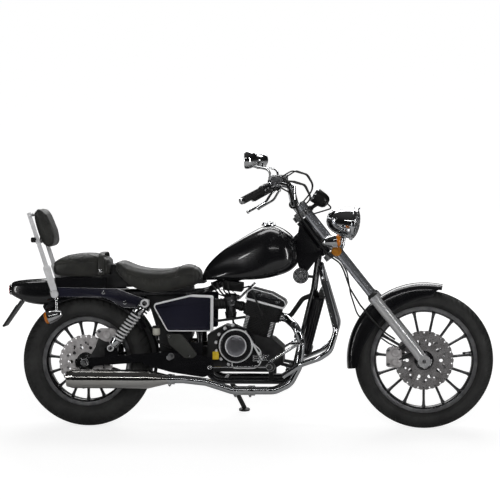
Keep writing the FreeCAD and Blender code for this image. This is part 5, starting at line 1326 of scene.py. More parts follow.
REAR_LAMP, REAR_WAY = Vector((-170, -150, 507)), Vector((-0.95, 0, -0.31)).normalized()
shell, glass = bullet(REAR_LAMP, REAR_WAY)
root = REAR_LAMP - REAR_WAY * 40
stalk = tube([root, (root.x, -104.5, root.z + 6), (root.x, -104.5, 604)], 6.5, 20)
collar = turned((root.x, -104.5, 590), SKY, [(0, 10), (8, 10), (10, 8)], 32)
piece("rear_bullet_lamps", "chassis", (chrome, both(*shell, stalk, collar)), (amber, both(*glass)), smooth=40,
      replaces=["rear_indicators"])

# %% [markdown]
# ## Engine
# The single cylinder leans forward. Its castings are painted black, and the edges of the covers and the
# bolts are polished bright, which draws the engine's shape against the dark. The fin edges are polished too,
# but their bright dashes are a painted highlight. All of it is laid out along the cylinder's own axis.

# %% Axes of the engine
ENGINE_TILT = math.radians(15)
ENGINE_BASE = Vector((782, 0, 432))
ENGINE_AHEAD = Vector((math.cos(ENGINE_TILT), 0, -math.sin(ENGINE_TILT)))
ENGINE_UP = Vector((math.sin(ENGINE_TILT), 0, math.cos(ENGINE_TILT)))


def on_engine(ahead, side, up):
    """A point given along the engine's own axes."""
    return ENGINE_BASE + ENGINE_AHEAD * ahead + SIDE * side + ENGINE_UP * up


def engine_plate(loops, up, thick):
    """A flat piece square to the cylinder, from loops of (along, side)."""
    return plate(loops, on_engine(0, 0, up), ENGINE_AHEAD, SIDE, ENGINE_UP * thick)


# %% [markdown]
# Ten thin fins ring the cylinder and eight deeper ones the head, each a plate with rounded corners. The
# fin edges are polished, and the short bright dashes at both edges of the cylinder are a painted highlight.

# %% Cylinder and head
core = [engine_plate([oblong(59, 70, 12)], 0, 74), engine_plate([oblong(77, 76, 12)], 74, 70)]
barrel_fins = [engine_plate([oblong(70, 81, 14)], 3.4 + 7.2 * k, 2.4) for k in range(10)]
head_fins = [engine_plate([oblong(85, 84, 14)], 77 + 8.0 * k, 3.0) for k in range(8)]
# Painted highlight: bright dashes on the polished fin edges, laid only where the fin corners catch the light.
HIGHLIGHT_LONG, HIGHLIGHT_HIGH = 15, 2.8
polished_fin_highlights = []
for k in range(10):
    for ahead in (-66, 50):
        corners = ((0, 0), (HIGHLIGHT_LONG, 0), (HIGHLIGHT_LONG, HIGHLIGHT_HIGH), (0, HIGHLIGHT_HIGH))
        polished_fin_highlights += both(slab([on_engine(ahead + a, -82, 3.2 + 7.2 * k + b) for a, b in corners], SIDE * 2.4))
studs = [rod(on_engine(ahead, side, 60), on_engine(ahead, side, 78), 7, steps=18)
         for ahead in (-63, 63) for side in (-68, 68)]
piece("cylinder_fins", "chassis", (cast_black, core[:1] + barrel_fins), (bright_trim, polished_fin_highlights),
      (dull_alloy, studs), round_edges=0.4, replaces=["cylinder"])
piece("head_fins", "chassis", (cast_black, core[1:] + head_fins), round_edges=0.5, replaces=["cylinder_head"])

# %% [markdown]
# The rocker cover has a peaked outline. A polished line runs round its face and along its foot, and
# two domed screws hold it on each side.

# %% Rocker cover
ROCKER = [(-92, 142), (91, 142), (98, 166), (86, 182), (22, 199), (-72, 199), (-92, 178)]


def rocker_plate(loops, side, thick):
    return plate(loops, on_engine(0, side, 0), ENGINE_AHEAD, ENGINE_UP, SIDE * thick)


rocker_loop = rounded(ROCKER, 6)
rocker_line = rounded(inset(ROCKER, [9, 5, 4, 4, 4, 4, 5]), 7)
rocker_recess = rounded(inset(ROCKER, [22, 9, 8, 9, 9, 9, 9]), 6)
rocker_body = rocker_plate([rocker_loop], -83.5, 167)
rocker_edges = rocker_plate([rocker_loop, rocker_line], -87, 3.4)
rocker_panel = rocker_plate([rocker_recess], -85.4, 2)
foot_line = slab([on_engine(ahead, -88, up) for ahead, up in ((-89, 143), (91, 143), (92, 149), (-89, 149))],
                 SIDE * 3)
screws = []
for ahead, up in ((-34, 181), (54, 172)):
    place = on_engine(ahead, -85.4, up)
    screws += [turned(place, -SIDE, [(0, 12), (2, 12), (3.4, 10), (3.4, 8)], 40, caps=False)]
    screws += socket_head(place, -SIDE, 8, 5.5)
piece("rocker_cover_casting", "chassis", (cast_gloss, [rocker_body] + both(rocker_panel)),
      (bright_trim, both(rocker_edges, foot_line)), (chrome, both(*screws)), round_edges=0.9,
      replaces=["rocker_cover"])

# %% [markdown]
# The clutch cover is a round black drum with a bright ring on its rolled edge and a plain silver disc
# in its middle. A bright rail slants down from it, and the lower cover has a polished edge of its own.

# %% Engine covers
disc_alloy = finish("disc_alloy", (0.46, 0.46, 0.50), 0.34, 1.0)
tint(disc_alloy, 30, (0.40, 0.40, 0.44), (0.52, 0.52, 0.56))
gloss(disc_alloy, 260, 0.28, 0.42, 2)
CLUTCH = Vector((693, -100, 384))
drum = turned(CLUTCH, -SIDE, [(0, 87), (28, 87), (31, 85), (31, 78), (42, 77), (48, 74), (51, 69), (52, 66),
                              (49.5, 64), (49.5, 48), (52, 47.5), (52, 0)], 96)
drum_ring = turned(CLUTCH, -SIDE, [(43, 77.8), (47, 76.2), (50, 73.4), (50.6, 71.4), (43, 76.4)], 96,
                   caps=False)
disc_rim = turned(CLUTCH, -SIDE, [(50, 49), (57, 48.5), (58, 47), (56, 44.6), (55, 44.4)], 96, caps=False)
disc = turned(CLUTCH, -SIDE, [(53, 45), (55.6, 44.6), (57.6, 40), (59, 26), (59.4, 0)], 96)
LOWER = [(673, 279), (783, 279), (809, 305), (809, 364), (753, 414), (673, 414)]
lower_loop = rounded(LOWER, 18)
lower_line = rounded(inset(LOWER, [4.5] * len(LOWER)), 14)
lower_cover = upright([lower_loop], -134, 34)
lower_edge = upright([lower_loop, lower_line], -136, 2.6)
rail = along(line_through([(733, -132, 452), (760, -140, 412), (811, -139, 322)], 40), 4.6, 12)
bolts = []
for turned_by in (100, 124, 148, 172, 196, 222, 248):
    place = CLUTCH + wheel_way(math.radians(turned_by)) * 93
    bolts.append(turned(place, -SIDE, [(0, 8), (16, 8), (18, 6)], 20))
    bolts += socket_head(place - SIDE * 18, -SIDE, 5.4, 4)
for x, z in ((795, 312), (800, 352), (783, 290), (700, 287)):
    bolts += socket_head((x, -135, z), -SIDE, 5, 4)
piece("right_case_covers", "chassis", (cast_gloss, [drum, lower_cover]),
      (bright_trim, [drum_ring, lower_edge, rail, disc_rim] + bolts), (disc_alloy, [disc]), smooth=38,
      replaces=["engine_covers"])

GENERATOR = Vector((753, 100, 364))
left_drum = turned(GENERATOR, SIDE,
                   [(0, 80), (26, 80), (35, 77), (43, 69), (46, 60), (46, 46), (42, 43), (42, 0)], 96)
left_ring = turned(GENERATOR, SIDE, [(45, 61), (47, 60), (47, 56), (45, 55)], 96, caps=False)
left_bolts = [shape for place in places_round(GENERATOR + SIDE * 42, 69, 6, 0.3)
              for shape in socket_head(place, SIDE, 5, 5)]
chain_case = upright([rounded([(558, 310), (668, 310), (668, 410), (558, 410)], 22)], 100, 14)
piece("left_case_covers", "chassis", (cast_gloss, [left_drum, chain_case]), (alloy, [left_ring] + left_bolts),
      round_edges=0.6, smooth=38)

# %% [markdown]
# The carburettor hangs behind the cylinder: a body with a float bowl, a domed cap, a rubber boot on
# each side with its clamps, and the ribbed duct that leads back to the air box.

# %% Carburettor
CARB = Vector((660, 0, 568))
carb_body = turned(CARB - SKY * 74, SKY,
                   [(0, 14), (3, 22), (22, 26), (27, 26), (28, 28), (34, 28), (35, 24), (58, 24), (60, 27),
                    (88, 27), (92, 31), (112, 31), (118, 26), (120, 10), (120, 0)], 48)
bolts = []
for k in range(4):
    angle = math.tau * (k + 0.5) / 4
    out = ACROSS * math.cos(angle) + SIDE * math.sin(angle)
    bolts += socket_head(CARB + out * 26 + SKY * 44, SKY, 3.6, 4)
    bolts += socket_head(CARB + out * 25 - SKY * 41, -SKY, 3.6, 4)
choke = turned(CARB + Vector((6, -26, 4)), -SIDE, [(0, 15), (5, 15), (6, 13), (6, 6), (12, 5), (12, 0)], 32)
pulley = turned(CARB + Vector((34, -20, 30)), -SIDE, [(0, 12), (10, 12), (12, 10), (12, 0)], 32)
start = on_engine(-85, 0, 101)
boot_way = (start - CARB).normalized()
boot = turned(CARB, boot_way, [(16, 21), (40, 21), (44, 23), (58, 23), (60, 20), (80, 20),
                               ((start - CARB).length, 24)], 40)
clamps = [ring(CARB + boot_way * reach, boot_way, 23, 1.8, 40, 8) for reach in (47, 54)]
duct_profile = [(24 + 6.8 * k, 23.5 + (2.4 if k % 2 else 0)) for k in range(25)]
duct = turned(CARB, (-1, 0, -0.042), duct_profile, 36)
hose_bends = ((10, -10, -70), (14, -24, -92), (60, -40, -112), (86, -44, -100))
hose = tube([CARB + Vector(bend) for bend in hose_bends], 5, 22, 12)
piece("carburettor_parts", "chassis", (dull_alloy, [carb_body]), (alloy, bolts + [choke, pulley] + clamps),
      (soft_rubber, [boot, duct, hose]), smooth=38, replaces=["carburettor"])

# %% [markdown]
# ## Front end
# What turns with the bars is laid out along the raked steering axis. Its place and direction come from
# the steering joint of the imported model.

# %% Axes of the steering
steering = joints["steering_turn"]
HEAD_LOW = UPRIGHT @ Vector(steering["pos_m"])
STEER_UP = (BIKE.to_3x3().inverted() @ Vector(steering["axis"])).normalized()
STEER_AHEAD = Vector((STEER_UP.z, 0, -STEER_UP.x))
HEAD_BOTTOM = 655
FORK_AHEAD, FORK_SIDE = 45, 95


def steered(ahead, side, up):
    """A point given square to the steering axis, with the lower end of the head tube at 655."""
    return HEAD_LOW + STEER_AHEAD * ahead + SIDE * side + STEER_UP * (up - HEAD_BOTTOM)


print("head tube foot", [round(c) for c in HEAD_LOW], "rake", round(math.degrees(math.asin(-STEER_UP.x)), 1))

# %% [markdown]
# The fork tubes are hard chrome, and slide in polished legs with a rubber wiper at the top and an axle
# boss at the foot. Only what the imported legs lack is added: wipers, caps and clamp bolts.

# %% Fork details
wipers, caps, yoke_bolts = [], [], []
for side in (-FORK_SIDE, FORK_SIDE):
    wipers.append(turned(steered(FORK_AHEAD, side, 368), STEER_UP,
                         [(0, 24.6), (6, 25.4), (10, 25), (14, 21), (20, 18.6)], 48, caps=False))
    caps.append(turned(steered(FORK_AHEAD, side, 903), STEER_UP,
                       [(0, 18.4), (3, 18.4), (4, 13), (10, 12), (11, 9), (11, 0)], 36))
    for up in (637, 863):
        yoke_bolts += socket_head(steered(FORK_AHEAD - 20, side + math.copysign(22, side), up),
                                  SIDE * math.copysign(1, side), 5, 5)
piece("fork_wipers", "steering", (soft_rubber, wipers), smooth=40)
piece("fork_caps", "steering", (chrome, caps), (alloy, yoke_bolts), smooth=40)

# %% [markdown]
# The headlight is a chrome bowl with a small peak. Behind its bulging fluted glass lies a bright bowl
# with a bulb. All are turned about one axis, which points a little down.

# %% Headlight
LAMP = Vector((1230, 0, 936))
LAMP_DROOP = math.radians(9)
LAMP_WAY = Vector((math.cos(LAMP_DROOP), 0, -math.sin(LAMP_DROOP)))
LAMP_UP = Vector((math.sin(LAMP_DROOP), 0, math.cos(LAMP_DROOP)))
shell = turned(LAMP, LAMP_WAY, [(-132, 0), (-131.5, 12), (-127, 26), (-116, 40), (-98, 52.5), (-76, 62),
                                (-50, 68.5), (-34, 71), (-16, 72.6), (-15, 76), (-13, 79), (-4, 79),
                                (-1, 77.5), (0, 74), (-3, 71)], 96)
bowl = turned(LAMP, LAMP_WAY, [(-3, 71), (-16, 66), (-34, 55), (-50, 39), (-60, 22), (-64, 9), (-64, 0)],
              96, caps=False)
bulb = turned(LAMP, LAMP_WAY, [(-64, 9), (-40, 9), (-38, 7), (-24, 6.6), (-18, 4), (-17, 0)], 24)
peak_lines = []
for along_by, grow in ((-8, 3.6), (3, 3.4), (9, 1.6), (12, -1.0)):
    half_turn = math.radians(58 * (1 - max(0, along_by) / 16))
    line = []
    for k in range(25):
        a = -half_turn + 2 * half_turn * k / 24
        line.append(LAMP + LAMP_WAY * along_by + (LAMP_UP * math.cos(a) + SIDE * math.sin(a)) * (75.6 + grow))
    peak_lines.append(line)
PEAK_THICK = 2.4


def lowered(p):
    """A point of the peak moved straight towards the lamp's axis, by the peak's thickness."""
    return p - (p - LAMP - LAMP_WAY * (p - LAMP).dot(LAMP_WAY)).normalized() * PEAK_THICK


peak_under = [[lowered(p) for p in line] for line in peak_lines]
peak_rings = [top + under[::-1] for top, under in zip(peak_lines, peak_under)]
stem = tube([steered(39, 0, 637), steered(76, 0, 637), LAMP - LAMP_WAY * 42 - LAMP_UP * 62], 10, 20)
stem_nut = hex_head(LAMP - LAMP_WAY * 42 - LAMP_UP * 66, -LAMP_UP, 22, 9)
side_screws = [shape for side in (-1, 1)
               for shape in socket_head(LAMP - LAMP_WAY * 34 + SIDE * (71 * side), SIDE * side, 5, 4)]
piece("headlamp_shell", "steering", (chrome, [shell, bowl, skin(peak_rings), stem] + stem_nut + side_screws),
      (milky_plastic, [bulb]), smooth=40, replaces=["headlight"])

fluted_glass = finish("fluted_glass", (0.95, 0.96, 0.97), 0.03, transmission_weight=0.95, ior=1.45)
place = node_in(fluted_glass, "TexCoord")
flutes = node_in(fluted_glass, "TexWave", scale=60, distortion=0.0)
flutes.bands_direction = "Y"
join(fluted_glass, place.outputs["Object"], flutes.inputs["Vector"])
bumps_from(fluted_glass, flutes.outputs["Fac"], 0.0015, 0.7)
dome = [(-2, 70.5), (1, 70.5), (5, 67), (11, 57), (17, 42), (21, 24), (22.4, 8), (22.6, 0)]
lens = turned(LAMP, LAMP_WAY, dome, 96)
inner_lens = turned(LAMP, LAMP_WAY, [(a - 3, r * 0.965) for a, r in dome], 96)
piece("headlamp_glass", "steering", (fluted_glass, [lens, (inner_lens[0], [f[::-1] for f in inner_lens[1]])]),
      smooth=50, replaces=["headlight_lens"])

# %% [markdown]
# The speedometer is a cup that faces the rider: a chrome bezel round a dark dial with marks and a
# needle, under glass, held by an arm from the top yoke.

# %% Speedometer
DIAL, DIAL_WAY = Vector((1041, 0, 1071)), Vector((-0.81, 0, 0.58)).normalized()
dial_up = Vector((0.58, 0, 0.81)).normalized()
cup = turned(DIAL, -DIAL_WAY, [(2, 33.6), (3, 35.4), (12, 35.6), (50, 34), (66, 29), (75, 20), (78, 10),
                               (78, 0)], 64)
bezel = turned(DIAL, DIAL_WAY, [(-10, 35.8), (-2, 36), (0, 35), (0, 31.6), (-3, 31)], 64, caps=False)
back_plate = turned(DIAL, DIAL_WAY, [(-5, 33), (-4.4, 31), (-4.4, 0)], 64)
MARKS = 25


def dial_way_at(mark):
    """The way out from the dial's middle to one of its marks."""
    angle = math.radians(-130 + 260 * mark / (MARKS - 1))
    return dial_up * math.cos(angle) - SIDE * math.sin(angle)


marks = []
for k in range(MARKS):
    out = dial_way_at(k)
    across = out.cross(DIAL_WAY)
    length, wide = (5.0, 0.7) if k % 4 == 0 else (2.8, 0.35)
    corners = ((28 - length, -wide), (28, -wide), (28, wide), (28 - length, wide))
    marks.append(slab([DIAL - DIAL_WAY * 4.2 + out * reach + across * aside for reach, aside in corners],
                      DIAL_WAY * 0.4))
needle_out = dial_way_at(0)
needle_side = needle_out.cross(DIAL_WAY)
pin = DIAL - DIAL_WAY * 3.2
needle = slab([pin - needle_side * 1.1, pin + needle_out * 24, pin + needle_side * 1.1], DIAL_WAY * 0.5)
hub = turned(DIAL - DIAL_WAY * 3.4, DIAL_WAY, [(0, 3), (1.2, 3), (1.4, 0)], 20)
arm = [rod(steered(64, 0, 863), DIAL - DIAL_WAY * 50, 9), rod(steered(39, 0, 863), steered(70, 0, 863), 9)]
glass = turned(DIAL - DIAL_WAY * 1.6, DIAL_WAY, [(0, 31.4), (0.8, 31), (1.2, 0)], 48)
piece("speedometer_cup", "steering", (black_plastic, [cup] + arm), (chrome, [bezel]),
      (dial_face, [back_plate]), (milky_plastic, marks), (red_lens, [needle, hub]), smooth=40,
      replaces=["speedometer"])
piece("speedometer_glass", "steering", (clear_glass, [glass]), smooth=40)

# %% [markdown]
# The mirrors are chrome teardrops, pointed outwards, whose flat glass faces the rider.

# %% Mirrors
MIRROR = Vector((768, -402, 1228))


def mirror_ring(x, wide, tall):
    """One section of the mirror, a rounded triangle with its point outwards."""
    section = []
    for k in range(40):
        a = math.tau * k / 40
        up = math.sin(a) * tall * (1 - 0.16 * math.cos(a))
        section.append(MIRROR + Vector((x, math.cos(a) * wide, up)))
    return section


MIRROR_SECTIONS = [(41, 0.12, 0.12), (39, 0.30, 0.34), (32, 0.55, 0.62), (20, 0.74, 0.84), (6, 0.90, 0.97),
                   (-6, 1.0, 1.0), (-12, 1.0, 0.99), (-15, 0.97, 0.97)]
mirror_shell = skin([mirror_ring(x, 60 * wide, 42 * tall) for x, wide, tall in MIRROR_SECTIONS])
mirror_face = skin([mirror_ring(x, 55 * grow, 38 * grow)
                    for x, grow in ((-14, 1.0), (-16.4, 1.0), (-16.8, 0.9))])
stalk_foot = Vector((856, -316, 1132))
stalk = along(line_through([stalk_foot, stalk_foot + Vector((4, -26, 50)), MIRROR + Vector((12, 30, -30)),
                            MIRROR + Vector((10, 10, -8))], 40), 5, 14)
knuckle = turned(stalk_foot - SKY * 12, SKY, [(0, 9), (14, 9), (18, 6.5), (30, 6)], 24)
piece("mirror_shells", "steering", (chrome, both(mirror_shell, stalk, knuckle)),
      (mirror_glass, both(mirror_face)), smooth=50, replaces=["mirrors"])

# %% [markdown]
# The indicators in front stand out on stalks that clamp the fork tubes. Round reflectors sit on the
# ends of the lower yoke.

# %% Front lamps
FRONT_LAMP, FRONT_WAY = HEAD_LOW + Vector((56, -170, 64)), Vector((1, 0, 0.12)).normalized()
shell, glass = bullet(FRONT_LAMP, FRONT_WAY)
collar = turned(steered(FORK_AHEAD, -FORK_SIDE, 660), STEER_UP,
                [(0, 18.2), (0, 22), (2, 23), (22, 23), (24, 22), (24, 18.2)], 40, caps=False)
arm = rod(steered(FORK_AHEAD, -FORK_SIDE - 20, 672), FRONT_LAMP - FRONT_WAY * 40, 6.6)
screw = socket_head(steered(FORK_AHEAD + 22, -FORK_SIDE, 672), STEER_AHEAD, 4.4, 4)
reflector_place = steered(FORK_AHEAD, -FORK_SIDE - 35, 637)
reflector_cup = turned(reflector_place, SIDE, [(1, 21), (0, 24), (8, 24), (12, 18), (12, 0)], 48, caps=False)
reflector = turned(reflector_place, -SIDE, [(-3, 22.6), (0.5, 22.4), (2, 19), (2.6, 0)], 48)
facets = [ring(reflector_place - SIDE * 2.2, SIDE, radius, 0.8, 40, 6) for radius in (6, 12, 18)]
piece("front_bullet_lamps", "steering", (chrome, both(*shell, collar, arm, reflector_cup, *screw)),
      (amber, both(*glass)), (orange_lens, both(reflector, *facets)), smooth=40,
      replaces=["front_indicators"])

# %% [markdown]
# ## Brakes
# A caliper is two castings bolted together over the edge of the disc, with round piston caps on the
# outer half. The outlines are drawn flat, as the discs are, and given their depth.

# %% Calipers and master cylinder
def caliper(loop, bridge, sides, pistons, bolts):
    """The castings and the bolt heads of a caliper: sides are both faces of its two halves."""
    outer, outer_in, inner_in, inner = sides
    shapes = [upright([rounded(loop, 8)], outer, outer_in - outer),
              upright([rounded(loop, 8)], inner_in, inner - inner_in),
              upright([rounded(bridge, 4)], outer_in - 4, inner_in - outer_in + 8)]
    for x, z in pistons:
        shapes.append(turned((x, outer + 1, z), -SIDE,
                             [(0, 20), (4, 20), (5, 17), (9, 16), (10, 13), (9, 10), (9, 0)], 36))
    heads = []
    for x, z in bolts:
        heads += hex_head((x, outer, z), -SIDE, 11, 6)
    return shapes, heads


def beside(centre, loop):
    return [(centre.x + x, centre.z + z) for x, z in loop]


front_loop = beside(front_centre, [(-172, -24), (-160, -30), (-110, -30), (-102, -18), (-102, 48),
                                   (-114, 60), (-158, 60), (-172, 46)])
front_bridge = beside(front_centre, [(-170, -20), (-142, -20), (-142, 10), (-134, 48), (-170, 44)])
castings, heads = caliper(front_loop, front_bridge, (-94, -72, -53, -46),
                          beside(front_centre, [(-130, -7), (-130, 36)]),
                          beside(front_centre, [(-162, -18), (-162, 46)]))
arms = [rod(front_centre + Vector((-120, -86, rise)), steered(FORK_AHEAD, -88, up), 8.5)
        for rise, up in ((2, 52), (46, 108))]
nipple = rod(front_centre + Vector((-140, -84, 58)), front_centre + Vector((-146, -84, 74)), 4, 2.6, 12)
piece("front_brake_caliper", "steering", (pale_casting, castings), (cast_black, arms),
      (alloy, heads + [nipple]), round_edges=1.6, smooth=40, replaces=["front_caliper"])

rear_castings, rear_heads = caliper(
    [(50, 424), (70, 408), (92, 397), (140, 397), (140, 440), (126, 455), (62, 455), (50, 446)],
    [(52, 430), (94, 402), (138, 402), (138, 436), (124, 451), (64, 451), (52, 443)], (-102, -86, -69, -56),
    [(100, 427)], [(64, 442), (130, 408)])
hanger = upright([rounded([(14, 322), (92, 322), (136, 402), (100, 400), (84, 410), (62, 418), (40, 360)],
                          8)], -98, 5)
cover_grey = finish("cover_grey", (0.030, 0.031, 0.028), 0.5)
tint(cover_grey, 20, (0.025, 0.026, 0.023), (0.038, 0.039, 0.035))
grain(cover_grey, 1300, 0.0001, 0.3)
master = upright([rounded([(376, 437), (447, 437), (518, 345), (500, 328), (462, 328), (392, 388)], 9)],
                 -153, 26)
master_bolts = [s for x, z in ((392, 424), (482, 340)) for s in socket_head((x, -153, z), -SIDE, 5, 3)]
piece("rear_brake_caliper", "chassis", (pale_casting, rear_castings), (cast_black, [hanger]),
      (alloy, rear_heads), round_edges=1.4, smooth=40)
piece("rear_master_cover", "chassis", (cover_grey, [master]), (alloy, master_bolts), round_edges=2.0,
      smooth=40, replaces=["rear_brake"])

# %% [markdown]
# ## Bars
# The grips are ribbed rubber with a bright end weight. Each control is a clamp in two halves with a
# lever that ends in a ball, and a small reservoir box with a lid. Thin cables arch from them and run
# down behind the headlight.

# %% Grips, levers and cables
bar_points = [steered(18, -1, 925), steered(18, -70, 925), Vector((938, -215, 1108)),
              Vector((880, -290, 1122)), Vector((736, -400, 1043))]
grip_way = (bar_points[-1] - bar_points[-2]).normalized()
grip_start = bar_points[-1] + grip_way * (6 - 122)
ribs = [(0, 11), (0, 18), (3, 19), (5, 18), (6, 16)]
for k in range(24):
    ribs += [(8 + 4 * k, 16.5), (10 + 4 * k, 15.2)]
grip = turned(grip_start, grip_way, ribs + [(105, 16.5), (108, 16.5), (109, 11)], 40)
weight = turned(grip_start, grip_way,
                [(109, 11), (109.5, 14), (119, 14), (121.6, 11), (122, 6), (120, 5), (120, 0)], 40)
piece("ribbed_grips", "steering", (soft_rubber, both(grip)), (chrome, both(weight)), smooth=40,
      replaces=["hand_grips"])
housing = turned(grip_start - grip_way * 44, grip_way,
                 [(0, 11), (0, 17), (3, 21), (20, 22), (21, 20), (23, 20), (24, 22), (41, 21), (43.5, 17),
                  (43.5, 11)], 40, caps=False)
lever_root = grip_start - grip_way * 40
lever_bends = ((-40, (18, 8, -20)), (20, (34, 10, -42)), (104, (22, 10, -50)))
lever_line = line_through([grip_start + grip_way * reach + Vector(off) for reach, off in lever_bends], 60)
ball = turned(lever_line[-1] - grip_way * 2, grip_way,
              [(-3, 0), (-2, 4), (1, 7), (5, 8), (9, 7), (11, 4), (12, 0)], 24)
perch = rod(lever_root + Vector((18, 8, -20)), lever_root, 10, 13)
pivot = turned(lever_root + Vector((18, 8, -27)), SKY, [(0, 6), (1, 8), (13, 8), (14, 6)], 20)
cup = grip_start - grip_way * 50 + Vector((26, 12, 16))
tank_box = plate([oblong(26, 22, 8)], cup, ACROSS, SIDE, SKY * 26)
lid = plate([oblong(26, 22, 8)], cup + SKY * 27, ACROSS, SIDE, SKY * 6)
lid_screws = [s for a, b in ((-18, -14), (18, 14))
              for s in socket_head(cup + Vector((a, b, 33)), SKY, 3.4, 1)]
switches = []
for reach in (14, 30):
    place = grip_start - grip_way * reach
    switches.append(rod(place + Vector((-12, -16, 4)), place + Vector((-17, -22, 6)), 4.5, 3.6, 14))
piece("bar_controls", "steering", (cast_gloss, both(housing, perch)), (dull_alloy, both(tank_box)),
      (chrome, both(along(lever_line, 5.6, 14), ball, pivot, lid, *lid_screws)),
      (soft_rubber, both(*switches)), round_edges=0.7, smooth=40, replaces=["hand_controls"])
arch = tube([(905, -262, 1150), (950, -215, 1178), (1010, -90, 1160), (1046, -26, 1100),
             steered(52, -14, 905)], 3.2, 60, 12)
low_arch = tube([(890, -276, 1130), (945, -200, 1128), (1000, -90, 1112), (1030, -24, 1050),
                 steered(48, -22, 890)], 3.2, 60, 12)
bar_wire = tube([(900, -270, 1104), (946, -206, 1076), (968, -120, 1010), steered(30, -44, 905)],
                3.6, 50, 12)
piece("bar_cables", "steering", (soft_rubber, both(arch, low_arch, bar_wire)), smooth=60)

# %% [markdown]
# The springs are wound from round wire with open turns, so light falls through between them. A chrome
# cap with its bolt closes each shock absorber at the top, and a nut at the foot.

# %% Springs and shock ends
def coil(start, end, radius, wire, turns):
    """A helix of round wire between two points."""
    way = (end - start).normalized()
    aside = way.cross(SIDE).normalized()
    other = way.cross(aside)
    steps = turns * 20
    line = []
    for k in range(steps + 1):
        angle = math.tau * k / 20
        line.append(start.lerp(end, k / steps) + (aside * math.cos(angle) + other * math.sin(angle)) * radius)
    return along(line, wire, 10)


SHOCK_TOP, SHOCK_LOW = Vector((278, -138, 575)), Vector((121, -138, 371))
shock_way = (SHOCK_TOP - SHOCK_LOW).normalized()
shock_length = (SHOCK_TOP - SHOCK_LOW).length
wound = coil(SHOCK_LOW + shock_way * 50, SHOCK_TOP - shock_way * 58, 21, 4.2, 9)
lower_cup = turned(SHOCK_LOW, shock_way,
                   [(10, 12), (14, 20), (18, 23), (42, 25.4), (48, 25.4), (49, 22), (49, 12)], 40)
upper_cup = turned(SHOCK_TOP, -shock_way,
                   [(14, 12), (18, 20), (24, 23.6), (44, 23.6), (46, 25.6), (54, 25.6), (55, 12)], 40)
damper = turned(SHOCK_LOW, shock_way,
                [(40, 14), (shock_length * 0.6, 14), (shock_length * 0.6, 7), (shock_length - 40, 7)], 32)
eye = turned(SHOCK_TOP + SIDE * 14, -SIDE,
             [(0, 18), (0, 20), (26, 20), (29, 18), (29, 12), (26, 11), (26, 0)], 40)
foot_eye = turned(SHOCK_LOW + SIDE * 12, -SIDE, [(0, 14), (0, 15), (24, 15), (25, 13), (25, 8), (24, 0)], 32)
ends = hex_head(SHOCK_TOP - SIDE * 12, -SIDE, 17, 8) + hex_head(SHOCK_LOW - SIDE * 14, -SIDE, 15, 8)
piece("shock_coils", "chassis", (bright_trim, both(wound)), replaces=["shock_springs"], smooth=60)
piece("shock_bodies", "chassis", (chrome, both(lower_cup, upper_cup)), (cast_gloss, both(damper)),
      (bright_trim, both(eye, foot_eye)), (alloy, both(*ends)), smooth=40, replaces=["shock_absorbers"])

# %% [markdown]
# ## What fills the frame
# Seen from the side, the gaps between seat, tank and wheel are not empty. There is a guard in front of
# the rear wheel, a battery box, an ignition coil with its leads, and black covers round the steering head.

# %% Guard, battery box and covers
inner_guard = skin(fender_rings(WHEELS["rear"]["centre"], 6, 66, 24, lambda share: (332, 324, 60, 3)))
battery = upright([rounded([(340, 352), (450, 352), (486, 420), (486, 650), (262, 650), (300, 540),
                            (334, 430)], 12)], -78, 156)
seat_pan = upright([rounded([(70, 640), (70, 700), (116, 704), (116, 750), (138, 748), (156, 712),
                             (204, 690), (520, 690), (548, 664), (300, 650)], 6)], -74, 148)
piece("frame_fillers", "chassis", (satin_black, [inner_guard, battery, seat_pan]), round_edges=3.0, smooth=40)
neck_front = [(place.x, place.z) for place in (steered(-14, 0, 672), steered(-14, 0, 838))]
neck = upright([rounded(neck_front + [(966, 868), (962, 800), (972, 742), (1000, 700)], 10)], -50, 8)
shroud = upright([rounded([(984, 352), (1024, 342), (1092, 596), (1046, 604)], 8)], -102, 3)
ribs = [rod((992 + a, -102, 360), (1050 + a, -102, 592), 3.2, steps=14) for a in (6, 17, 28)]
FIN_GAP, RADIATOR_LEAN = 12, 0.2586
fins = []
for k in range(19):
    x, z = 1026 + RADIATOR_LEAN * FIN_GAP * k, 384 + FIN_GAP * k
    fins.append(brick((x, -92, z), (x + 3, 92, z + 2)))
piece("neck_covers", "chassis", (black_gloss, both(neck)), round_edges=2.4, smooth=40)
piece("radiator_sides", "chassis", (black_gloss, both(shroud, *ribs)), (dull_alloy, fins), smooth=40)

# %% [markdown]
# Under the tank sit the ignition coil, its thick lead to the plug, hoses and clips. They are small, so
# tubes with soft bends, a plain block and a few bright clips are enough.

# %% Coil, leads and hoses
coil_block = upright([rounded([(628, 632), (716, 622), (720, 664), (632, 676)], 8)], -46, 92)
plug_lead = tube([(716, -30, 640), (752, -60, 652), (768, -96, 620), on_engine(-10, -96, 112),
                  on_engine(0, -84, 100)], 4, 22, 12)
hoses = [tube([(575 + 26 * k, -60 - 8 * k, 668), (590 + 22 * k, -72, 640 - 6 * k), (610 + 18 * k, -50, 612),
               (640 + 6 * k, -26, 600)], 3.4 + 0.5 * (k % 2), 18, 10) for k in range(4)]
breather = tube([(560, -62, 520), (600, -74, 492), (660, -70, 500), on_engine(-70, -60, 62)], 6, 26, 12)
clips = [ring((598 + 26 * k, -68, 640 - 5 * k), (0.6, 0, 1), 6, 1.4, 20, 8) for k in range(4)]
plug_cap = turned(on_engine(0, -84, 100), -SIDE, [(-6, 9), (8, 9), (10, 6)], 20)
stay = [slab([(700, -62, 600), (772, -62, 672), (780, -62, 664), (708, -62, 592)], SIDE * 3)]
piece("under_tank_parts", "chassis", (black_plastic, [coil_block]),
      (soft_rubber, [plug_lead, breather, plug_cap] + hoses), (alloy, clips + stay), round_edges=0.8,
      smooth=45)

# %% [markdown]
# The horn is a black drum whose front carries a pressed bright grille, drawn as rings and ribs.

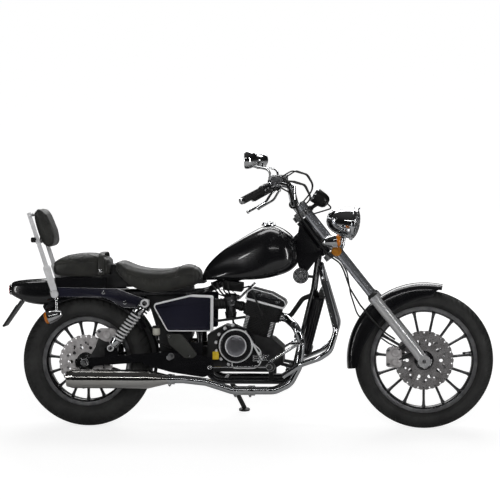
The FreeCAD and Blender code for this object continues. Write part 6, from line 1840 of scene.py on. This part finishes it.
# %% Horn
HORN = HEAD_LOW + Vector((-117, -70, -100))
drum = turned(HORN + SIDE * 2, -SIDE, [(0, 16), (0, 34), (3, 36), (20, 36), (24, 33), (26, 30), (26, 0)], 56)
grille = [ring(HORN - SIDE * 25, SIDE, radius, 1.6, 44, 8) for radius in (10, 17, 24, 31)]
grille += [rod(near, far, 1.6, steps=10) for near, far in zip(places_round(HORN - SIDE * 25, 6, 8),
                                                              places_round(HORN - SIDE * 24, 33, 8))]
grille += hex_head(HORN - SIDE * 25, -SIDE, 13, 4)
arm = rod(HORN - SIDE * 2, HORN + Vector((67, 24, -8)), 6.6)
piece("horn_drum", "chassis", (cast_gloss, [drum, arm]), (alloy, grille), smooth=40, replaces=["horn"])

# %% [markdown]
# ## Feet and controls
# The rider's pegs have ribbed rubber on a bent steel arm, the pillion's pegs hang on a plate that also
# carries the silencer, and the pedals are bright tubes. A thin rod links the pedal to the rear brake.

# %% Pegs and pedals
def ribbed_peg(start, way, length, radius):
    profile = [(0, 8), (0, radius + 3), (5, radius + 3), (6, radius)]
    for k in range(int((length - 10) / 8)):
        profile += [(8 + 8 * k, radius), (12 + 8 * k, radius - 2)]
    return turned(start, way, profile + [(length - 2, radius), (length, radius - 4), (length, 0)], 32)


PEG_BEND, PEG_END = Vector((853, -150, 290)), Vector((853, -290, 303))
peg_way = (PEG_END - PEG_BEND).normalized()
peg_arm = tube([(853, -112, 226), PEG_BEND, PEG_END - peg_way * 8], 11.6, 20)
peg_ring = ring(PEG_END - peg_way * 109, peg_way, 18, 3.4, 40, 10)
peg_tip = ring(PEG_END - peg_way * 3, peg_way, 12.5, 2.4, 40, 8)
piece("rider_pegs", "chassis", (satin_black, both(peg_arm)), (alloy, both(peg_ring, peg_tip)),
      (soft_rubber, both(ribbed_peg(PEG_END - peg_way * 106, peg_way, 104, 16.5))), smooth=40,
      replaces=["foot_pegs"])
pedal = tube([(835, -140, 300), (870, -190, 330), (975, -240, 400)], 7, 30)
pad = plate([oblong(30, 20, 8)], (975, -242, 400), ACROSS, SIDE, SKY * 9)
pad_ribs = [brick((950 + 9 * k, -258, 408), (953.6 + 9 * k, -226, 411.6)) for k in range(6)]
heel = [rod((770, -139, 318 + 10 * k), (846, -141, 322 + 10 * k), 4.2, steps=14) for k in range(3)]
gear = tube([(700, 160, 330), (860, 190, 330), (975, 240, 400)], 7, 30)
gear_end = turned((952, 236, 398), SIDE, [(0, 8), (0, 12), (36, 12), (38, 9), (38, 0)], 24)
gear_hub = turned((705, 142, 330), SIDE, [(0, 9), (22, 9), (24, 7), (24, 0)], 24)
link_rear, link_front = Vector((576, -165, 288)), Vector((826, -165, 292))
link = rod(link_rear, link_front, 3.2)
link_eye = ring(link_rear, SIDE, 8, 3, 28, 10)
link_ends = [rod(link_front - Vector((30, 0, 0.4)), link_front + Vector((8, 0, 0)), 6, steps=6),
             rod(link_front, (834, -140, 300), 5), rod(link_rear + SIDE * 28, link_rear, 4)]
piece("pedal_and_levers", "chassis",
      (chrome, [pedal, pad, gear, gear_hub, link, link_eye] + link_ends + heel),
      (soft_rubber, pad_ribs + [gear_end]), round_edges=0.4, smooth=40, replaces=["foot_levers"])
hanger = upright([rounded([(262, 300), (400, 262), (548, 240), (592, 262), (588, 330), (470, 352),
                           (300, 352)], 12)], -147, 5)
left_hanger = upright([rounded([(300, 352), (470, 352), (500, 320), (400, 290), (330, 300)], 12)], 128, 5)
stays = both(rod((470, -147, 338), (470, -112, 338), 9)) + [rod((330, -147, 285), (330, -172, 268), 8)]
rear_pegs = both(ribbed_peg(Vector((398, -147, 336)), -SIDE, 84, 12))
piece("pillion_pegs", "chassis", (black_gloss, [hanger, left_hanger] + stays), (dull_alloy, rear_pegs),
      smooth=40)

# %% [markdown]
# Small bright and coloured things catch the eye: clamps on the exhaust, the cream brake reservoir, the
# yellow switch, the backrest's foot plates and knobs, and the nuts of the rear axle and the swingarm.

# %% Small fittings
clamp_shapes = []
for x, z, radius in ((395, 233, 23.4), (760, 184.4, 21.4), (693, 184.2, 21.4)):
    place = Vector((x, -172, z))
    band = [(0, radius - 4), (0, radius), (2, radius + 1.6), (16, radius + 1.6), (18, radius),
            (18, radius - 4)]
    clamp_shapes.append(turned(place - ACROSS * 9, ACROSS, band, 40, caps=False))
    clamp_shapes += hex_head(place + Vector((0, -4, -radius - 3)), -SIDE, 9, 10)
clamp_shapes.append(turned((700, -172, 184.2), ACROSS, [(0, 18), (2, 20.2), (62, 20.2), (64, 18)], 40,
                           caps=False))
cup = turned((330, -136, 430), SKY, [(0, 0), (0, 13), (4, 17), (30, 17), (33, 15)], 32)
cap = turned((330, -136, 463), SKY, [(0, 18), (9, 18), (11, 15), (11, 0)], 32)
pipe = tube([(330, -136, 430), (336, -138, 398), (400, -140, 372)], 4, 18, 12)
switch = upright([rounded([(586, 320), (614, 320), (614, 356), (586, 356)], 5)], -128, 16)
strap_up, strap_side = Vector((-0.312, 0.950)), Vector((0.950, 0.312))
strap_foot = Vector((-139, 623))


def on_strap(up, aside):
    return tuple(strap_foot + strap_up * up + strap_side * aside)


strap_loop = rounded([on_strap(4, -15), on_strap(4, 15), on_strap(128, 18), on_strap(128, -18)], 12)
foot_plate = upright([strap_loop] + [round_loop(7, 20, on_strap(up, 0)) for up in (102, 68)], -117, 3)
boss = turned((-139, -114, 614), -SIDE, [(0, 18), (6, 18), (9, 15), (9, 9), (12, 8), (12, 0)], 36)
knob = turned((-222, -124, 862), (-1, 0, 0), [(0, 6), (4, 12), (20, 12), (23, 9), (23, 0)], 28)
axle_nuts = both(*hex_head((0, -124, REAR_RADIUS), -SIDE, 27, 12), *hex_head((480, -122, 342), -SIDE, 24, 10))
piece("exhaust_clamps", "chassis", (chrome, clamp_shapes), round_edges=0.4, smooth=40)
piece("small_fittings", "chassis", (milky_plastic, [cup]), (black_plastic, [cap, pipe] + both(knob)),
      (yellow_plastic, [switch]), (bright_trim, both(foot_plate, boss)), (alloy, axle_nuts),
      round_edges=0.6, smooth=40)
